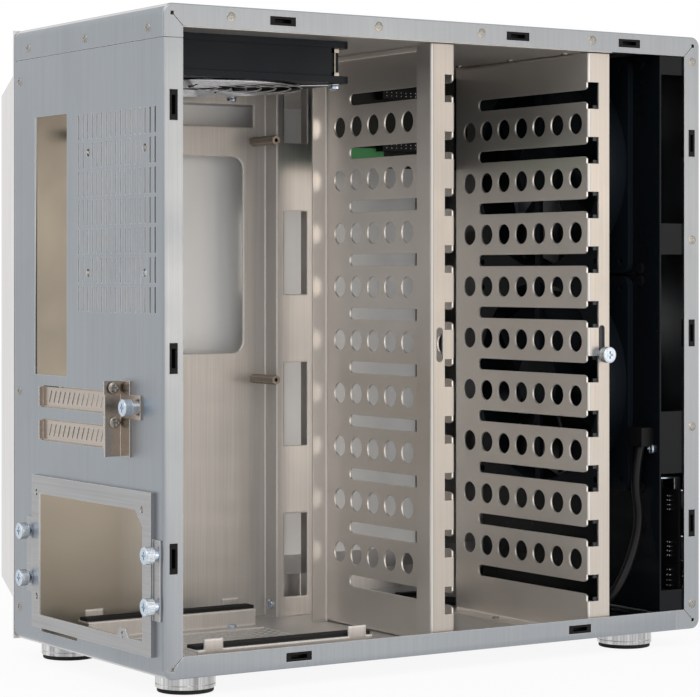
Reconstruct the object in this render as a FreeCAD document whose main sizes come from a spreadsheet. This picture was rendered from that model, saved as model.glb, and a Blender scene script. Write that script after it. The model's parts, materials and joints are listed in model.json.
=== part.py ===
"""Mini-ITX case with a ten-bay side-loading drive cage, left side panel taken off.

Millimetres. The front of the case faces -Y, its open left side -X and +Z is up. Pieces are drawn in
the case's own axes, with z = 0 at the underside of the shell, and then moved together so that the
origin lies on the floor under the middle of the whole part.
"""
import FreeCAD, Part
import os
import re
from math import cos, floor, pi, sin, tan
from types import SimpleNamespace

import Sketcher
from FreeCAD import Placement, Rotation, Vector

doc = FreeCAD.newDocument("mini_itx_case")

# Driving dimensions: name, millimetres, meaning
SIZES = [
    # Shell
    ("case_width", 197.0, "shell width over the side flanges"),
    ("case_depth", 394.2, "shell depth, front to rear"),
    ("case_height", 382.6, "shell height without the feet"),
    ("wall", 1.5, "shell sheet thickness"),
    ("flange_width", 12.7, "side flange width"),
    ("bend_radius", 6.0, "outer radius of the four long bends"),
    ("edge_break", 0.8, "broken edge between sheet and side flange"),
    ("rear_lip", 19.3, "height of the top sheet's lip at the rear"),
    ("front_return", 20.1, "length of the front sheet's return under the case"),
    ("seam_gap", 0.3, "gap between the two shell sheets"),
    ("cut_past", 0.5, "how far a cut runs past the sheet it goes through"),
    ("mitre_reach", 7.0, "distance from flange corner to relief hole, each way"),
    ("mitre_gap", 0.3, "half width of a mitre slit"),
    ("relief_half", 1.1, "half width of a square relief hole"),
    ("foot_diameter", 35.0, "foot ring diameter"),
    ("foot_height", 10.8, "foot height with its pad"),
    ("foot_pad_height", 2.4, "rubber pad under a foot"),
    ("foot_pad_inset", 1.0, "foot ring edge to pad edge"),
    ("foot_side", 23.5, "foot centre to the case side"),
    ("foot_rear", 27.1, "rear foot centre to the rear face"),
    ("foot_front", 43.5, "front foot centre to the front face"),
    # Side clips
    ("clip_length", 17.5, "clip socket length"),
    ("clip_height", 5.3, "clip socket height"),
    ("clip_depth", 7.0, "clip socket depth"),
    ("clip_edge", 6.6, "clip socket centre to the shell edge"),
    ("clip_slot_length", 11.0, "clip socket slot length"),
    ("clip_slot_height", 2.4, "clip socket slot height"),
    ("clip_slot_depth", 5.0, "clip socket slot depth"),
    ("tongue_clearance", 0.4, "clip tongue clearance in its slot"),
    ("tongue_reach", 4.0, "clip tongue length inside its slot"),
    # Motherboard tray and rear board openings
    ("tray_sheet", 1.2, "tray sheet thickness"),
    ("standoff_length", 29.8, "standoff length"),
    ("standoff_flats", 5.5, "standoff width over its flats"),
    ("standoff_bore", 2.5, "standoff thread bore"),
    ("standoff_bore_depth", 8.0, "standoff thread depth"),
    ("board_level", 159.9, "height of the lower standoffs"),
    ("board_rise", 157.48, "lower to upper standoffs"),
    ("board_rear", 18.2, "rear standoff to the rear face"),
    ("board_run", 154.94, "rear to front standoffs"),
    ("board_offset", 22.86, "upper rear standoff ahead of the lower one"),
    ("port_height", 158.75, "board port opening height"),
    ("port_width", 44.45, "board port opening width"),
    ("port_lift", 7.6, "lower standoffs to the port opening"),
    ("port_shift", 2.25, "standoff tip to the port opening's far edge"),
    ("tray_window_run", 108.0, "tray window length"),
    ("tray_window_height", 129.7, "tray window height"),
    ("tray_window_lift", 17.4, "lower standoffs to the tray window"),
    ("tray_window_ahead", 8.0, "front standoff to the tray window"),
    ("tray_window_corner", 8.0, "tray window corner radius"),
    ("tray_slit_run", 135.0, "upper tray slit length"),
    ("tray_slit_height", 14.4, "upper tray slit height"),
    ("tray_slit_lift", 10.0, "upper standoffs to the upper tray slit"),
    ("tray_rear", 10.0, "tray rear edge to the rear face"),
    ("duct_rise", 14.4, "cable duct height above the tray"),
    ("duct_run", 29.7, "cable duct width"),
    ("duct_front", 15.1, "cable duct front face ahead of the case middle"),
    ("duct_slot_run", 18.0, "cable duct slot width"),
    ("duct_slot_height", 55.3, "cable duct slot height"),
    ("duct_slot_first", 14.8, "lowest cable duct slot above the shell bottom"),
    ("duct_slot_pitch", 100.6, "cable duct slot spacing"),
    ("duct_slot_margin", 8.0, "least sheet left above the highest cable duct slot"),
    # Rear vent and its fan holes
    ("vent_x", -40.4, "vent grid centre across the case"),
    ("vent_z", 265.8, "vent grid centre height"),
    ("vent_pitch_x", 6.02, "vent column spacing"),
    ("vent_pitch_z", 17.1, "vent row spacing"),
    ("vent_slot_width", 1.8, "vent slot width"),
    ("vent_slot_height", 15.0, "vent slot height"),
    ("rear_fan_pitch", 71.5, "rear fan screw spacing"),
    ("rear_fan_hole", 5.0, "rear fan screw hole diameter"),
    # Expansion slots
    ("slot_pitch", 20.32, "expansion slot spacing"),
    ("slot_drop", 5.7, "lower standoffs down to the upper slot's centre"),
    ("slot_start", 7.5, "standoff tip to the slot's far end"),
    ("slot_run", 106.0, "slot opening length"),
    ("slot_height", 13.4, "slot opening height"),
    ("cover_height", 12.0, "slot cover height"),
    ("cover_sheet", 1.0, "slot cover sheet thickness"),
    ("cover_ear_height", 18.4, "slot cover ear height"),
    ("ear_reach", 11.4, "slot cover ear standing out of the rear face"),
    ("cover_tab", 2.2, "bent tab at the cover's far end"),
    ("cover_slit_width", 1.6, "cover vent slit width"),
    ("cover_slit_height", 7.6, "cover vent slit height"),
    ("cover_slit_lean", 3.6, "cover vent slit lean"),
    ("cover_slit_pitch", 6.3, "cover vent slit spacing"),
    ("cover_slit_first", 10.0, "cover far end to the first slit"),
    ("cover_slits", 12, "most vent slits on a cover"),
    ("clamp_sheet", 1.2, "slot clamp sheet thickness"),
    ("clamp_height", 36.0, "slot clamp leg height"),
    ("clamp_foot", 11.0, "slot clamp foot width"),
    ("clamp_lobe", 24.0, "slot clamp foot width at its thumbscrew"),
    ("clamp_lobe_half", 7.0, "half height of the clamp foot at its thumbscrew"),
    ("clamp_foot_height", 44.0, "slot clamp foot height"),
    ("clamp_low", 10.2, "lower slot centre down to the clamp's lower end"),
    ("clamp_screw_drop", 1.5, "upper slot centre down to the clamp thumbscrew"),
    # Power supply bracket and rails
    ("psu_x", -10.5, "power supply bracket centre across the case"),
    ("psu_low", 12.0, "power supply bracket lower edge"),
    ("psu_bracket_width", 155.0, "power supply bracket width"),
    ("psu_bracket_height", 93.5, "power supply bracket height"),
    ("psu_bracket_rise", 2.6, "power supply bracket height above the rear face"),
    ("psu_sheet", 1.2, "power supply bracket sheet thickness"),
    ("psu_seat", 1.7, "bracket edge resting on the rear face"),
    ("psu_open_left", 10.0, "bracket near edge to its opening"),
    ("psu_open_right", 10.0, "bracket far edge to its opening"),
    ("psu_open_low", 8.0, "bracket lower edge to its opening"),
    ("psu_open_top", 11.0, "bracket upper edge to its opening"),
    ("psu_corner", 9.0, "cut corner of the bracket opening"),
    ("psu_bump_width", 14.0, "width of the bump round the lower screw hole"),
    ("psu_bump_height", 5.0, "height of the bump round the lower screw hole"),
    ("psu_screw_span", 138.0, "power supply upper screw spacing"),
    ("psu_screw_drop", 10.4, "bracket upper edge to the upper screws"),
    ("psu_screw_low", 64.0, "upper screws down to the far lower screw"),
    ("psu_screw_bottom", 74.0, "upper screws down to the near lower screw"),
    ("psu_screw_inset", 24.0, "near upper screw to the near lower screw"),
    ("psu_screw_side", 0.6, "bracket opening's near edge to the near upper screw"),
    ("psu_screw_hole", 4.0, "power supply screw hole diameter"),
    ("psu_ear_far", 10.0, "far ear width"),
    ("psu_ear_near", 8.4, "near ear width"),
    ("psu_ear_low", 21.0, "bracket lower edge to the ears"),
    ("psu_ear_height", 46.0, "ear height"),
    ("psu_ear_sheet", 1.2, "ear sheet thickness"),
    ("thumb_pitch", 29.0, "thumbscrew spacing on an ear"),
    ("thumb_head", 10.0, "thumbscrew head diameter"),
    ("thumb_head_length", 5.2, "thumbscrew head length"),
    ("thumb_collar", 7.4, "thumbscrew collar diameter"),
    ("thumb_collar_length", 3.0, "thumbscrew collar length"),
    ("rail_sheet", 1.2, "power supply rail sheet thickness"),
    ("rail_height", 11.7, "power supply rail height above the bottom sheet"),
    ("rail_top", 15.0, "power supply rail top width"),
    ("rail_foot", 10.5, "power supply rail foot width"),
    ("rail_run", 120.0, "power supply rail length"),
    ("rail_rear", 29.5, "rail rear end to the rear face"),
    ("rail_far", 63.2, "bracket centre to the far rail's web"),
    ("rail_near", 74.5, "bracket centre to the near rail's web"),
    ("rail_tab_run", 12.4, "rail tab length"),
    ("rail_tab_rise", 6.0, "rail tab height"),
    ("rail_tab_end", 4.6, "rail tab to the rail's end"),
    ("foam_thickness", 2.0, "foam strip thickness"),
    ("foam_width", 10.0, "foam strip width"),
    # Drive cage
    ("cage_sheet", 1.2, "cage sheet thickness"),
    ("cage_y", -6.0, "bay side of the cage's rear wall"),
    ("bay_width", 102.6, "clear width of a drive bay"),
    ("cage_run", 146.5, "cage wall length across the case"),
    ("post_inset", 3.0, "case side to the cage posts"),
    ("post_rear", 17.7, "rear post flange width"),
    ("post_front", 16.4, "front post flange width"),
    ("post_lip", 16.0, "rear post's return lip"),
    ("post_break", 1.0, "broken edge of a post"),
    ("cage_far_flange", 12.0, "cage wall far flange"),
    ("cage_foot", 14.0, "cage wall foot and head flange width"),
    ("cage_flange_inset", 18.0, "cage flanges' setback from the post"),
    ("bay_first", 31.2, "lowest drive slot above the shell bottom"),
    ("bay_pitch", 34.54, "drive bay spacing"),
    ("bay_top_margin", 20.0, "least room above the highest drive slot"),
    ("drive_slot_height", 7.5, "drive slot height"),
    ("drive_slot_end", 29.0, "cage far end to the drive slots"),
    ("drive_slot_round", 2.4, "drive slot end corner"),
    ("notch_height", 16.8, "post notch height"),
    ("notch_width", 8.0, "post notch width"),
    ("mouth_flare", 4.7, "flare of a drive slot's mouth"),
    ("cage_hole", 13.4, "cage hole width over its corners"),
    ("cage_hole_pitch", 19.65, "cage hole spacing"),
    ("cage_hole_first", 11.5, "post face to the first cage hole"),
    ("cage_hole_margin", 12.0, "least room beyond the last cage hole"),
    ("guide_low", 176.0, "lower end of the lock guide slot"),
    ("guide_height", 21.0, "lock guide slot height"),
    ("guide_width", 4.8, "lock guide slot width"),
    ("guide_edge", 6.0, "post edge to the guide slot's centre"),
    ("lock_sheet", 1.2, "lock bar thickness"),
    ("lock_gap", 0.3, "running gap between post and lock bar"),
    ("lock_width", 11.6, "lock bar width"),
    ("lock_travel", 15.0, "lock bar travel"),
    ("lock_tooth", 4.0, "depth of the lock bar's notches"),
    ("lock_notch", 12.0, "height of the lock bar's notches"),
    ("lock_shank", 4.0, "lock knob shank diameter"),
    # Backplane
    ("plane_sheet", 1.6, "backplane board thickness"),
    ("plane_height", 62.0, "backplane board height"),
    ("plane_drop", 7.5, "inner top plate down to the backplane"),
    ("plane_overlap", 10.0, "backplane overlap on each cage flange"),
    ("drive_plug_run", 35.0, "drive connector length"),
    ("drive_plug_height", 7.0, "drive connector height"),
    ("drive_plug_depth", 8.0, "drive connector depth"),
    ("drive_plug_y", -62.0, "drive connector centre along the case"),
    ("cable_socket_run", 16.0, "cable socket length"),
    ("cable_socket_depth", 9.0, "cable socket depth"),
    ("cable_socket_pitch", 24.0, "cable socket spacing"),
    # Fans
    ("plate_drop", 13.1, "case top down to the inner plate's underside"),
    ("plate_sheet", 1.2, "inner top plate thickness"),
    ("plate_side", 10.0, "inner top plate's turned-up side"),
    ("plate_rear", 7.5, "inner top plate to the rear face"),
    ("clip_room", 1.0, "room left round a clip socket"),
    ("barrel_fit", 0.05, "power switch barrel clearance in the front sheet"),
    ("plate_front", 71.0, "case front to the inner top plate"),
    ("fan_size", 140.0, "fan frame side"),
    ("fan_depth", 25.0, "fan depth"),
    ("fan_bore", 132.0, "fan bore"),
    ("fan_duct_wall", 2.0, "fan duct wall thickness"),
    ("fan_flange", 4.0, "fan flange thickness"),
    ("fan_corner", 6.0, "cut corner of a fan flange"),
    ("fan_hub", 42.0, "fan hub diameter"),
    ("fan_hub_gap", 1.0, "fan hub to its motor plate"),
    ("fan_motor_plate", 3.0, "fan motor plate thickness"),
    ("fan_strut", 5.0, "fan strut width"),
    ("fan_pin", 3.0, "rotor pin diameter"),
    ("fan_pin_clearance", 0.05, "rotor pin clearance in its bush"),
    ("fan_pin_engage", 2.4, "rotor pin length inside its bush"),
    ("fan_tip_gap", 2.0, "blade tip to the fan bore"),
    ("blade_count", 7, "blades on a rotor"),
    ("blade_thickness", 1.8, "blade thickness"),
    ("blade_chord", 30.0, "blade width"),
    ("blade_rise", 14.0, "blade height"),
    ("blade_sweep", 24.0, "blade sweep over the width of the bore"),
    ("blade_tip_drop", 7.0, "flat blade tip inside the tip circle"),
    ("fan_rear_gap", 4.7, "top fan to the rear face"),
    ("fan_stack_gap", 2.0, "gap between the front fans"),
    ("front_fan_drop", 12.6, "case top down to the upper front fan"),
    ("guard_pitch", 124.5, "finger guard lug spacing"),
    ("guard_ring", 2.0, "finger guard ring width"),
    ("guard_depth", 2.0, "finger guard thickness"),
    ("guard_outer", 64.0, "finger guard outer ring radius"),
    ("guard_step", 15.0, "finger guard ring spacing"),
    ("top_slot_pitch", 11.0, "top vent slot spacing"),
    ("top_slot_width", 5.0, "top vent slot width"),
    # Front compartment
    ("bracket_sheet", 1.2, "front fan bracket sheet thickness"),
    ("bracket_front", 32.1, "case front to the bracket's rear face"),
    ("bracket_low", 12.0, "front fan bracket lower edge"),
    ("bracket_drop", 11.0, "case top down to the bracket's upper edge"),
    ("bracket_tab_gap", 2.1, "case front to the bracket's side tabs"),
    ("bracket_tab_end", 14.0, "height of the bracket's end tabs"),
    ("bracket_tab_middle", 89.0, "bracket lower edge to its middle tabs"),
    ("bracket_tab_middle_height", 40.0, "height of the bracket's middle tabs"),
    ("bracket_tab_upper", 230.0, "bracket lower edge to its upper tabs"),
    ("bracket_tab_upper_height", 20.0, "height of the bracket's upper tabs"),
    ("port_board_sheet", 1.6, "port board thickness"),
    ("port_board_gap", 11.0, "case front to the port board"),
    ("port_board_width", 19.0, "port board width"),
    ("port_board_low", 24.0, "port board lower edge"),
    ("port_board_height", 74.0, "port board height"),
    ("port_side", 15.0, "case side to the ports' centre line"),
    ("usb_height", 13.6, "USB port height"),
    ("usb_width", 6.0, "USB port width"),
    ("usb_low", 51.2, "lower USB port centre height"),
    ("usb_pitch", 30.0, "USB port spacing"),
    ("usb_wall", 0.6, "USB port shell thickness"),
    ("usb_cavity", 8.0, "USB port cavity depth"),
    ("jack_diameter", 7.0, "audio jack diameter"),
    ("jack_bore", 3.5, "audio jack bore"),
    ("jack_low", 28.6, "lower audio jack centre height"),
    ("jack_pitch", 10.0, "audio jack spacing"),
    ("port_clearance", 0.3, "port clearance in the front sheet"),
    ("port_bracket_sheet", 1.0, "port board bracket thickness"),
    ("port_bracket_width", 12.0, "port board bracket width"),
    ("port_bracket_leg", 8.0, "port board bracket leg"),
    ("button_z", 340.0, "power button height"),
    ("button_diameter", 12.4, "power button diameter"),
    ("button_gap", 0.3, "power button clearance in its barrel"),
    ("button_proud", 1.4, "power button standing out of its bezel"),
    ("button_travel", 1.2, "power button travel"),
    ("button_length", 7.0, "power button length"),
    ("barrel_wall", 1.8, "power switch barrel wall"),
    ("barrel_length", 20.0, "power switch barrel length behind the front"),
    ("bezel_width", 2.0, "power switch bezel beyond the barrel"),
    ("bezel_thickness", 1.0, "power switch bezel thickness"),
    ("light_diameter", 3.0, "power light diameter"),
    ("light_rise", 16.0, "power button to the power light"),
    ("light_length", 6.0, "power light length"),
    # Right side panel
    ("panel_gap", 0.3, "shell side to the side panel"),
    ("panel_sheet", 1.2, "side panel sheet thickness"),
    ("panel_bulge", 18.5, "shell side to the panel's outer face"),
    ("panel_pan_low", 26.0, "lower edge of the panel's pan"),
    ("panel_pan_top", 28.6, "case top down to the pan's upper edge"),
    ("panel_slope", 11.5, "height of the pan's sloping ends"),
    ("panel_rim", 14.0, "panel rim left inside the pan at front and rear"),
    # Front lead
    ("lead_diameter", 6.0, "front lead diameter"),
    ("lead_clamp_width", 14.0, "front lead clamp width"),
    ("lead_clamp_depth", 10.0, "front lead clamp depth"),
    ("lead_clamp_height", 12.0, "front lead clamp height"),
    ("lead_plug_width", 14.0, "header plug width"),
    ("lead_plug_height", 6.0, "header plug height"),
    ("lead_plug_length", 16.0, "header plug length"),
    ("lead_grip", 1.0, "length of the lead's ends inside its clamp and plug"),
]
size = SimpleNamespace(**{alias: value for alias, value, meaning in SIZES})

table = doc.addObject("Spreadsheet::Sheet", "Sizes")
for row, (alias, value, meaning) in enumerate(SIZES, start=1):
    table.set(f"A{row}", meaning)
    table.set(f"B{row}", str(value))
    table.setAlias(f"B{row}", alias)
doc.recompute()

# Places that several pieces share, in the case's own axes
SIDE = "(case_width / 2)"
END = "(case_depth / 2)"
SIDE_IN = "(case_width / 2 - wall)"
END_IN = "(case_depth / 2 - wall)"
PLATE_Z = "(case_height - plate_drop)"
TRAY = f"({SIDE_IN} - tray_sheet)"
STANDOFF_TIP = f"({TRAY} - standoff_length)"
BOARD_REAR = f"({END} - board_rear)"
BOARD_FRONT = f"({BOARD_REAR} - board_run)"
POST = f"(post_inset - {SIDE})"
CAGE_FAR = f"({POST} + cage_run)"
BAY_REAR = "cage_y"
BAY_FRONT = "(cage_y - bay_width)"
BRACKET = f"(bracket_front - {END})"
PORT_X = f"(port_side - {SIDE})"
PORT_BOARD = f"(port_board_gap - {END})"
PSU_LEFT = "(psu_x - psu_bracket_width / 2)"
PSU_RIGHT = "(psu_x + psu_bracket_width / 2)"
PSU_TOP = "(psu_low + psu_bracket_height)"
UPPER_SLOT = "(board_level - slot_drop)"
LOWER_SLOT = "(board_level - slot_drop - slot_pitch)"
SLOT_FAR = f"({STANDOFF_TIP} - slot_start)"
SLOT_NEAR = f"({SLOT_FAR} - slot_run)"
TOP_FAN_Y = f"({END} - fan_rear_gap - fan_size / 2)"
UPPER_FAN_Z = "(case_height - front_fan_drop - fan_size / 2)"
LOWER_FAN_Z = f"({UPPER_FAN_Z} - fan_size - fan_stack_gap)"

# The whole part is moved so that the origin is on the floor under the middle of its box
KNOB_PROUD = "(lock_gap + thumb_collar_length + thumb_head_length - post_inset)"
MOVE_X = f"(({KNOB_PROUD} - panel_bulge) / 2)"
MOVE_Y = "((bezel_thickness + button_proud - ear_reach) / 2)"

# Rounds are drawn as regular polygons, because there are many of them: number of sides
TINY_ROUND, SMALL_ROUND, MIDDLE_ROUND, LARGE_ROUND = 8, 12, 16, 20
HEXAGON = 6

# Clip centres on each flange: along the case on the upper and lower one, up the case on the rear and front one
CLIPS = {
    "upper": [118.3, -51.0, -138.9],
    "lower": [107.4, -99.3],
    "rear": [325.0, 181.6, 68.4],
    "front": [314.0, 191.3, 68.3],
}

# Rear vent grid in blocks of slots, left free round the fan screws:
# first column, columns, first row, rows, row step
VENT_BLOCKS = [(-8, 17, -3, 4, 2), (-8, 17, 0, 1, 1), (-5, 11, -2, 2, 4), (-8, 2, -2, 2, 4), (7, 2, -2, 2, 4)]

# Points along the front lead's way from the fan bracket to the cable duct
LEAD_POINTS = [
    (-84, -160.0, 119.5), (-84, -154.0, 97.0), (-84, -160.0, 71.0), (-84, -150.5, 42.0), (-82, -136.0, 20.0),
    (-62, -127.0, 5.2), (-14, -135.0, 4.8), (44, -132.0, 4.8), (84, -105.0, 4.8), (79, -63.0, 4.8),
    (79, -35.0, 4.8)]

# Share of the shorter run that an arc of the lead may take up on each side of its corner
LEAD_REACH = 0.45

ALONG_X = Vector(1, 0, 0)

sub_parts = []


def expression(text):
    """Points every size named in a formula at its cell in the sheet."""
    return re.sub(r"[a-z]\w*", lambda m: f"Sizes.{m[0]}" if hasattr(size, m[0]) else m[0], text)


def bind(item, property_name, text):
    """Ties a property to a formula of sizes."""
    item.setExpression(property_name, expression(text))


def finish(item, label, x="0", y="0", z="0", turn=Rotation()):
    """Names a sub-part, turns it and moves it from its own place in the case to the part's axes."""
    item.Label = label
    item.Placement = Placement(Vector(), turn)
    bind(item, "Placement.Base.x", f"{x} + {MOVE_X}")
    bind(item, "Placement.Base.y", f"{y} + {MOVE_Y}")
    bind(item, "Placement.Base.z", f"{z} + foot_height")
    sub_parts.append(item)


def rectangle(left, right, low, high):
    """Four corners of an upright rectangle."""
    return [(left, low), (right, low), (right, high), (left, high)]


def regular(x, y, radius, sides):
    """Corners of a regular polygon that stands on a flat."""
    turns = [2 * pi * (k + 0.5) / sides for k in range(sides)]
    return [(f"{x} + {radius} * {cos(a):.9f}", f"{y} + {radius} * {sin(a):.9f}") for a in turns]


def circle(x, y, radius):
    """A round outline."""
    return (x, y, radius)


def new_body(name):
    """An empty body."""
    return doc.addObject("PartDesign::Body", name)


def draw(body, plane, level, outlines):
    """Draws closed outlines on one of a body's own planes, lifted to a level along its normal."""
    sketch = body.newObject("Sketcher::SketchObject", f"{body.Name}_outline")
    support = next(item for item in body.Origin.OriginFeatures if item.Role == f"{plane}_Plane")
    sketch.AttachmentSupport = [(support, "")]
    sketch.MapMode = "FlatFace"
    bind(sketch, "AttachmentOffset.Base.z", level)
    lines, ties, formulas = [], [], []
    for outline in outlines:
        if isinstance(outline, tuple):
            add_circle(outline, lines, ties, formulas)
        else:
            add_polygon(outline, lines, ties, formulas)
    sketch.addGeometry(lines, False)
    sketch.addConstraint(ties)
    for index, formula in formulas:
        bind(sketch, f"Constraints[{index}]", formula)
    return sketch


def add_polygon(points, lines, ties, formulas):
    """Adds a closed polygon to a sketch's lists, each corner tied to two formulas."""
    first, count = len(lines), len(points)
    start = [Vector(cos(2 * pi * k / count), sin(2 * pi * k / count), 0) for k in range(count)]
    lines += [Part.LineSegment(start[k], start[(k + 1) % count]) for k in range(count)]
    ties += [Sketcher.Constraint("Coincident", first + k, 2, first + (k + 1) % count, 1)
             for k in range(count)]
    for k, (across, up) in enumerate(points):
        formulas += [(len(ties), across), (len(ties) + 1, up)]
        ties.append(Sketcher.Constraint("DistanceX", -1, 1, first + k, 1, start[k].x))
        ties.append(Sketcher.Constraint("DistanceY", -1, 1, first + k, 1, start[k].y))


def add_circle(outline, lines, ties, formulas):
    """Adds a circle to a sketch's lists, its centre and radius tied to formulas."""
    index = len(lines)
    lines.append(Part.Circle(Vector(1, 1, 0), Vector(0, 0, 1), 1.0))
    formulas += [(len(ties) + k, formula) for k, formula in enumerate(outline)]
    ties.append(Sketcher.Constraint("DistanceX", -1, 1, index, 3, 1.0))
    ties.append(Sketcher.Constraint("DistanceY", -1, 1, index, 3, 1.0))
    ties.append(Sketcher.Constraint("Radius", index, 1.0))


def pad(body, plane, low, high, *outlines):
    """Adds material between two levels along a plane's axis."""
    level = f"-({high})" if plane == "XZ" else low
    sketch = draw(body, plane, level, outlines)
    feature = body.newObject("PartDesign::Pad", f"{body.Name}_pad")
    feature.Profile = sketch
    bind(feature, "Length", f"({high}) - ({low})")
    body.Tip = feature
    doc.recompute()
    return feature


def pocket(body, plane, low, high, *outlines):
    """Takes material away between two levels along a plane's axis."""
    before = body.Tip.Shape.Volume
    level = f"-({low})" if plane == "XZ" else high
    sketch = draw(body, plane, level, outlines)
    feature = body.newObject("PartDesign::Pocket", f"{body.Name}_pocket")
    feature.Profile = sketch
    bind(feature, "Length", f"({high}) - ({low})")
    body.Tip = feature
    doc.recompute()
    if not feature.Shape.Volume < before:
        raise RuntimeError(f"{feature.Name} takes nothing away")
    return feature


def repeat(body, feature, *directions):
    """Copies a feature along one or two axes: axis name, spacing, count."""
    pattern = body.newObject("PartDesign::LinearPattern", f"{body.Name}_pattern")
    pattern.Originals = [feature]
    for suffix, (axis, pitch, count) in zip(("", "2"), directions):
        line = next(item for item in body.Origin.OriginFeatures if item.Role == f"{axis}_Axis")
        setattr(pattern, f"Direction{suffix}", (line, [""]))
        setattr(pattern, f"Mode{suffix}", "Spacing")
        bind(pattern, f"Offset{suffix}", pitch)
        setattr(pattern, f"Occurrences{suffix}", count)
    body.Tip = pattern
    doc.recompute()
    return pattern


def dress(body, kind, amount, wanted):
    """Rounds or breaks the edges of a body that a test picks."""
    base = body.Tip
    names = [f"Edge{k}" for k, edge in enumerate(base.Shape.Edges, start=1) if wanted(edge)]
    feature = body.newObject(f"PartDesign::{kind}", f"{body.Name}_{kind.lower()}")
    feature.Base = (base, names)
    bind(feature, "Radius" if kind == "Fillet" else "Size", amount)
    body.Tip = feature
    doc.recompute()


def runs_along(edge, axis):
    """Tells whether a straight edge runs along an axis."""
    if len(edge.Vertexes) != 2:
        return False
    span = edge.Vertexes[1].Point - edge.Vertexes[0].Point
    return abs(abs(span.dot(axis)) - span.Length) < 1e-6


def near(value, target):
    """Compares two lengths."""
    return abs(value - target) < 1e-4


# Shell sheets

def shell_block(name):
    """The whole shell as one folded box with open sides, from which both sheets are cut."""
    body = new_body(name)
    pad(body, "YZ", f"-{SIDE}", SIDE, rectangle(f"-{END}", END, "0", "case_height"))
    pocket(body, "YZ", f"-{SIDE}", SIDE, rectangle(
        f"flange_width - {END}", f"{END} - flange_width", "flange_width", "case_height - flange_width"))
    pocket(body, "YZ", f"-{SIDE_IN}", SIDE_IN, rectangle(f"-{END_IN}", END_IN, "wall", "case_height - wall"))
    end, height = size.case_depth / 2, size.case_height

    def corner(edge, inset):
        place = edge.Vertexes[0].Point
        at_end = near(abs(place.y), end - inset)
        at_level = near(place.z, inset) or near(place.z, height - inset)
        return runs_along(edge, ALONG_X) and at_end and at_level

    def outer_loop(edge):
        on_side = all(near(abs(v.Point.x), size.case_width / 2) for v in edge.Vertexes)
        middle, border = edge.CenterOfMass, size.flange_width / 2
        at_border = abs(middle.y) > end - border or not border < middle.z < height - border
        return on_side and at_border and not runs_along(edge, ALONG_X)

    dress(body, "Fillet", "bend_radius", lambda edge: corner(edge, 0))
    dress(body, "Fillet", "bend_radius - wall", lambda edge: corner(edge, size.wall))
    dress(body, "Chamfer", "edge_break", outer_loop)
    return body


def mitre(y_sign, top):
    """Slit and square relief hole where two side flanges meet at a corner."""
    corner_y = f"{y_sign} * ({END} - flange_width)"
    corner_z = "(case_height - flange_width)" if top else "flange_width"
    z_sign = 1 if top else -1
    inner, outer = "(mitre_reach - relief_half)", "(mitre_reach + relief_half)"
    steps = [("-mitre_gap", "-mitre_gap"), ("-mitre_gap", "0"), (inner, f"{inner} + mitre_gap"),
             (inner, outer), (outer, outer), (outer, inner), (f"{inner} + mitre_gap", inner),
             ("0", "-mitre_gap")]
    return [(f"{corner_y} + {y_sign} * ({u})", f"{corner_z} + {z_sign} * ({v})") for u, v in steps]


def clip_places(length, height, *flanges):
    """Outlines of a given size at the clips of some flanges, all four by default, across the side."""
    centres = {
        "upper": [(f"{y}", "(case_height - clip_edge)") for y in CLIPS["upper"]],
        "lower": [(f"{y}", "clip_edge") for y in CLIPS["lower"]],
        "rear": [(f"({END} - clip_edge)", f"{z}") for z in CLIPS["rear"]],
        "front": [(f"(clip_edge - {END})", f"{z}") for z in CLIPS["front"]],
    }
    outlines = []
    for flange in flanges or CLIPS:
        run, rise = (length, height) if flange in ("upper", "lower") else (height, length)
        outlines += [rectangle(f"{y} - {run} / 2", f"{y} + {run} / 2",
                               f"{z} - {rise} / 2", f"{z} + {rise} / 2") for y, z in centres[flange]]
    return outlines


def top_front_shell():
    """Sheet folded over the top and front, with a lip at the rear and a return below the front."""
    body = shell_block("top_front_shell")
    across = (f"-{SIDE} - wall", f"{SIDE} + wall")
    seam_y, seam_z = f"(front_return - {END})", "(case_height - rear_lip)"
    step_y, step_z = f"({END} - 3 * flange_width)", "(3 * flange_width)"
    pocket(body, "YZ", *across, [
        (seam_y, "-wall"), (f"{END} + wall", "-wall"), (f"{END} + wall", seam_z), (step_y, seam_z),
        (step_y, step_z), (seam_y, step_z)])
    pocket(body, "YZ", *across, mitre(1, True), mitre(-1, True), mitre(-1, False))
    pocket(body, "YZ", *across, *clip_places("clip_length", "clip_height", "upper", "front"))
    rows = floor((size.fan_bore / 2 - size.top_slot_width / 2) / size.top_slot_pitch)
    vents = []
    for row in range(-rows, rows + 1):
        half = f"sqrt((fan_bore / 2) ^ 2 - ({abs(row)} * top_slot_pitch + top_slot_width / 2) ^ 2)"
        y = f"{TOP_FAN_Y} + {row} * top_slot_pitch"
        vents.append(rectangle(f"-{half}", half, f"{y} - top_slot_width / 2", f"{y} + top_slot_width / 2"))
    pocket(body, "XY", "case_height - 2 * wall", "case_height + wall", *vents)
    half_width, half_height = "(usb_width / 2 + port_clearance)", "(usb_height / 2 + port_clearance)"
    ports = [rectangle(f"{PORT_X} - {half_width}", f"{PORT_X} + {half_width}",
                       f"{z} - {half_height}", f"{z} + {half_height}")
             for z in ("usb_low", "(usb_low + usb_pitch)")]
    jacks = [regular(PORT_X, z, "(jack_diameter / 2 + port_clearance)", SMALL_ROUND)
             for z in ("jack_low", "jack_low + jack_pitch")]
    barrel = "(button_diameter / 2 + button_gap + barrel_wall + barrel_fit)"
    switch = regular("0", "button_z", barrel, MIDDLE_ROUND)
    light = regular("0", "button_z + light_rise", "light_diameter / 2", TINY_ROUND)
    pocket(body, "XZ", f"-{END} - wall", f"-{END} + 2 * wall", *ports, *jacks, switch, light)
    finish(body, "top_front_shell")


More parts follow.
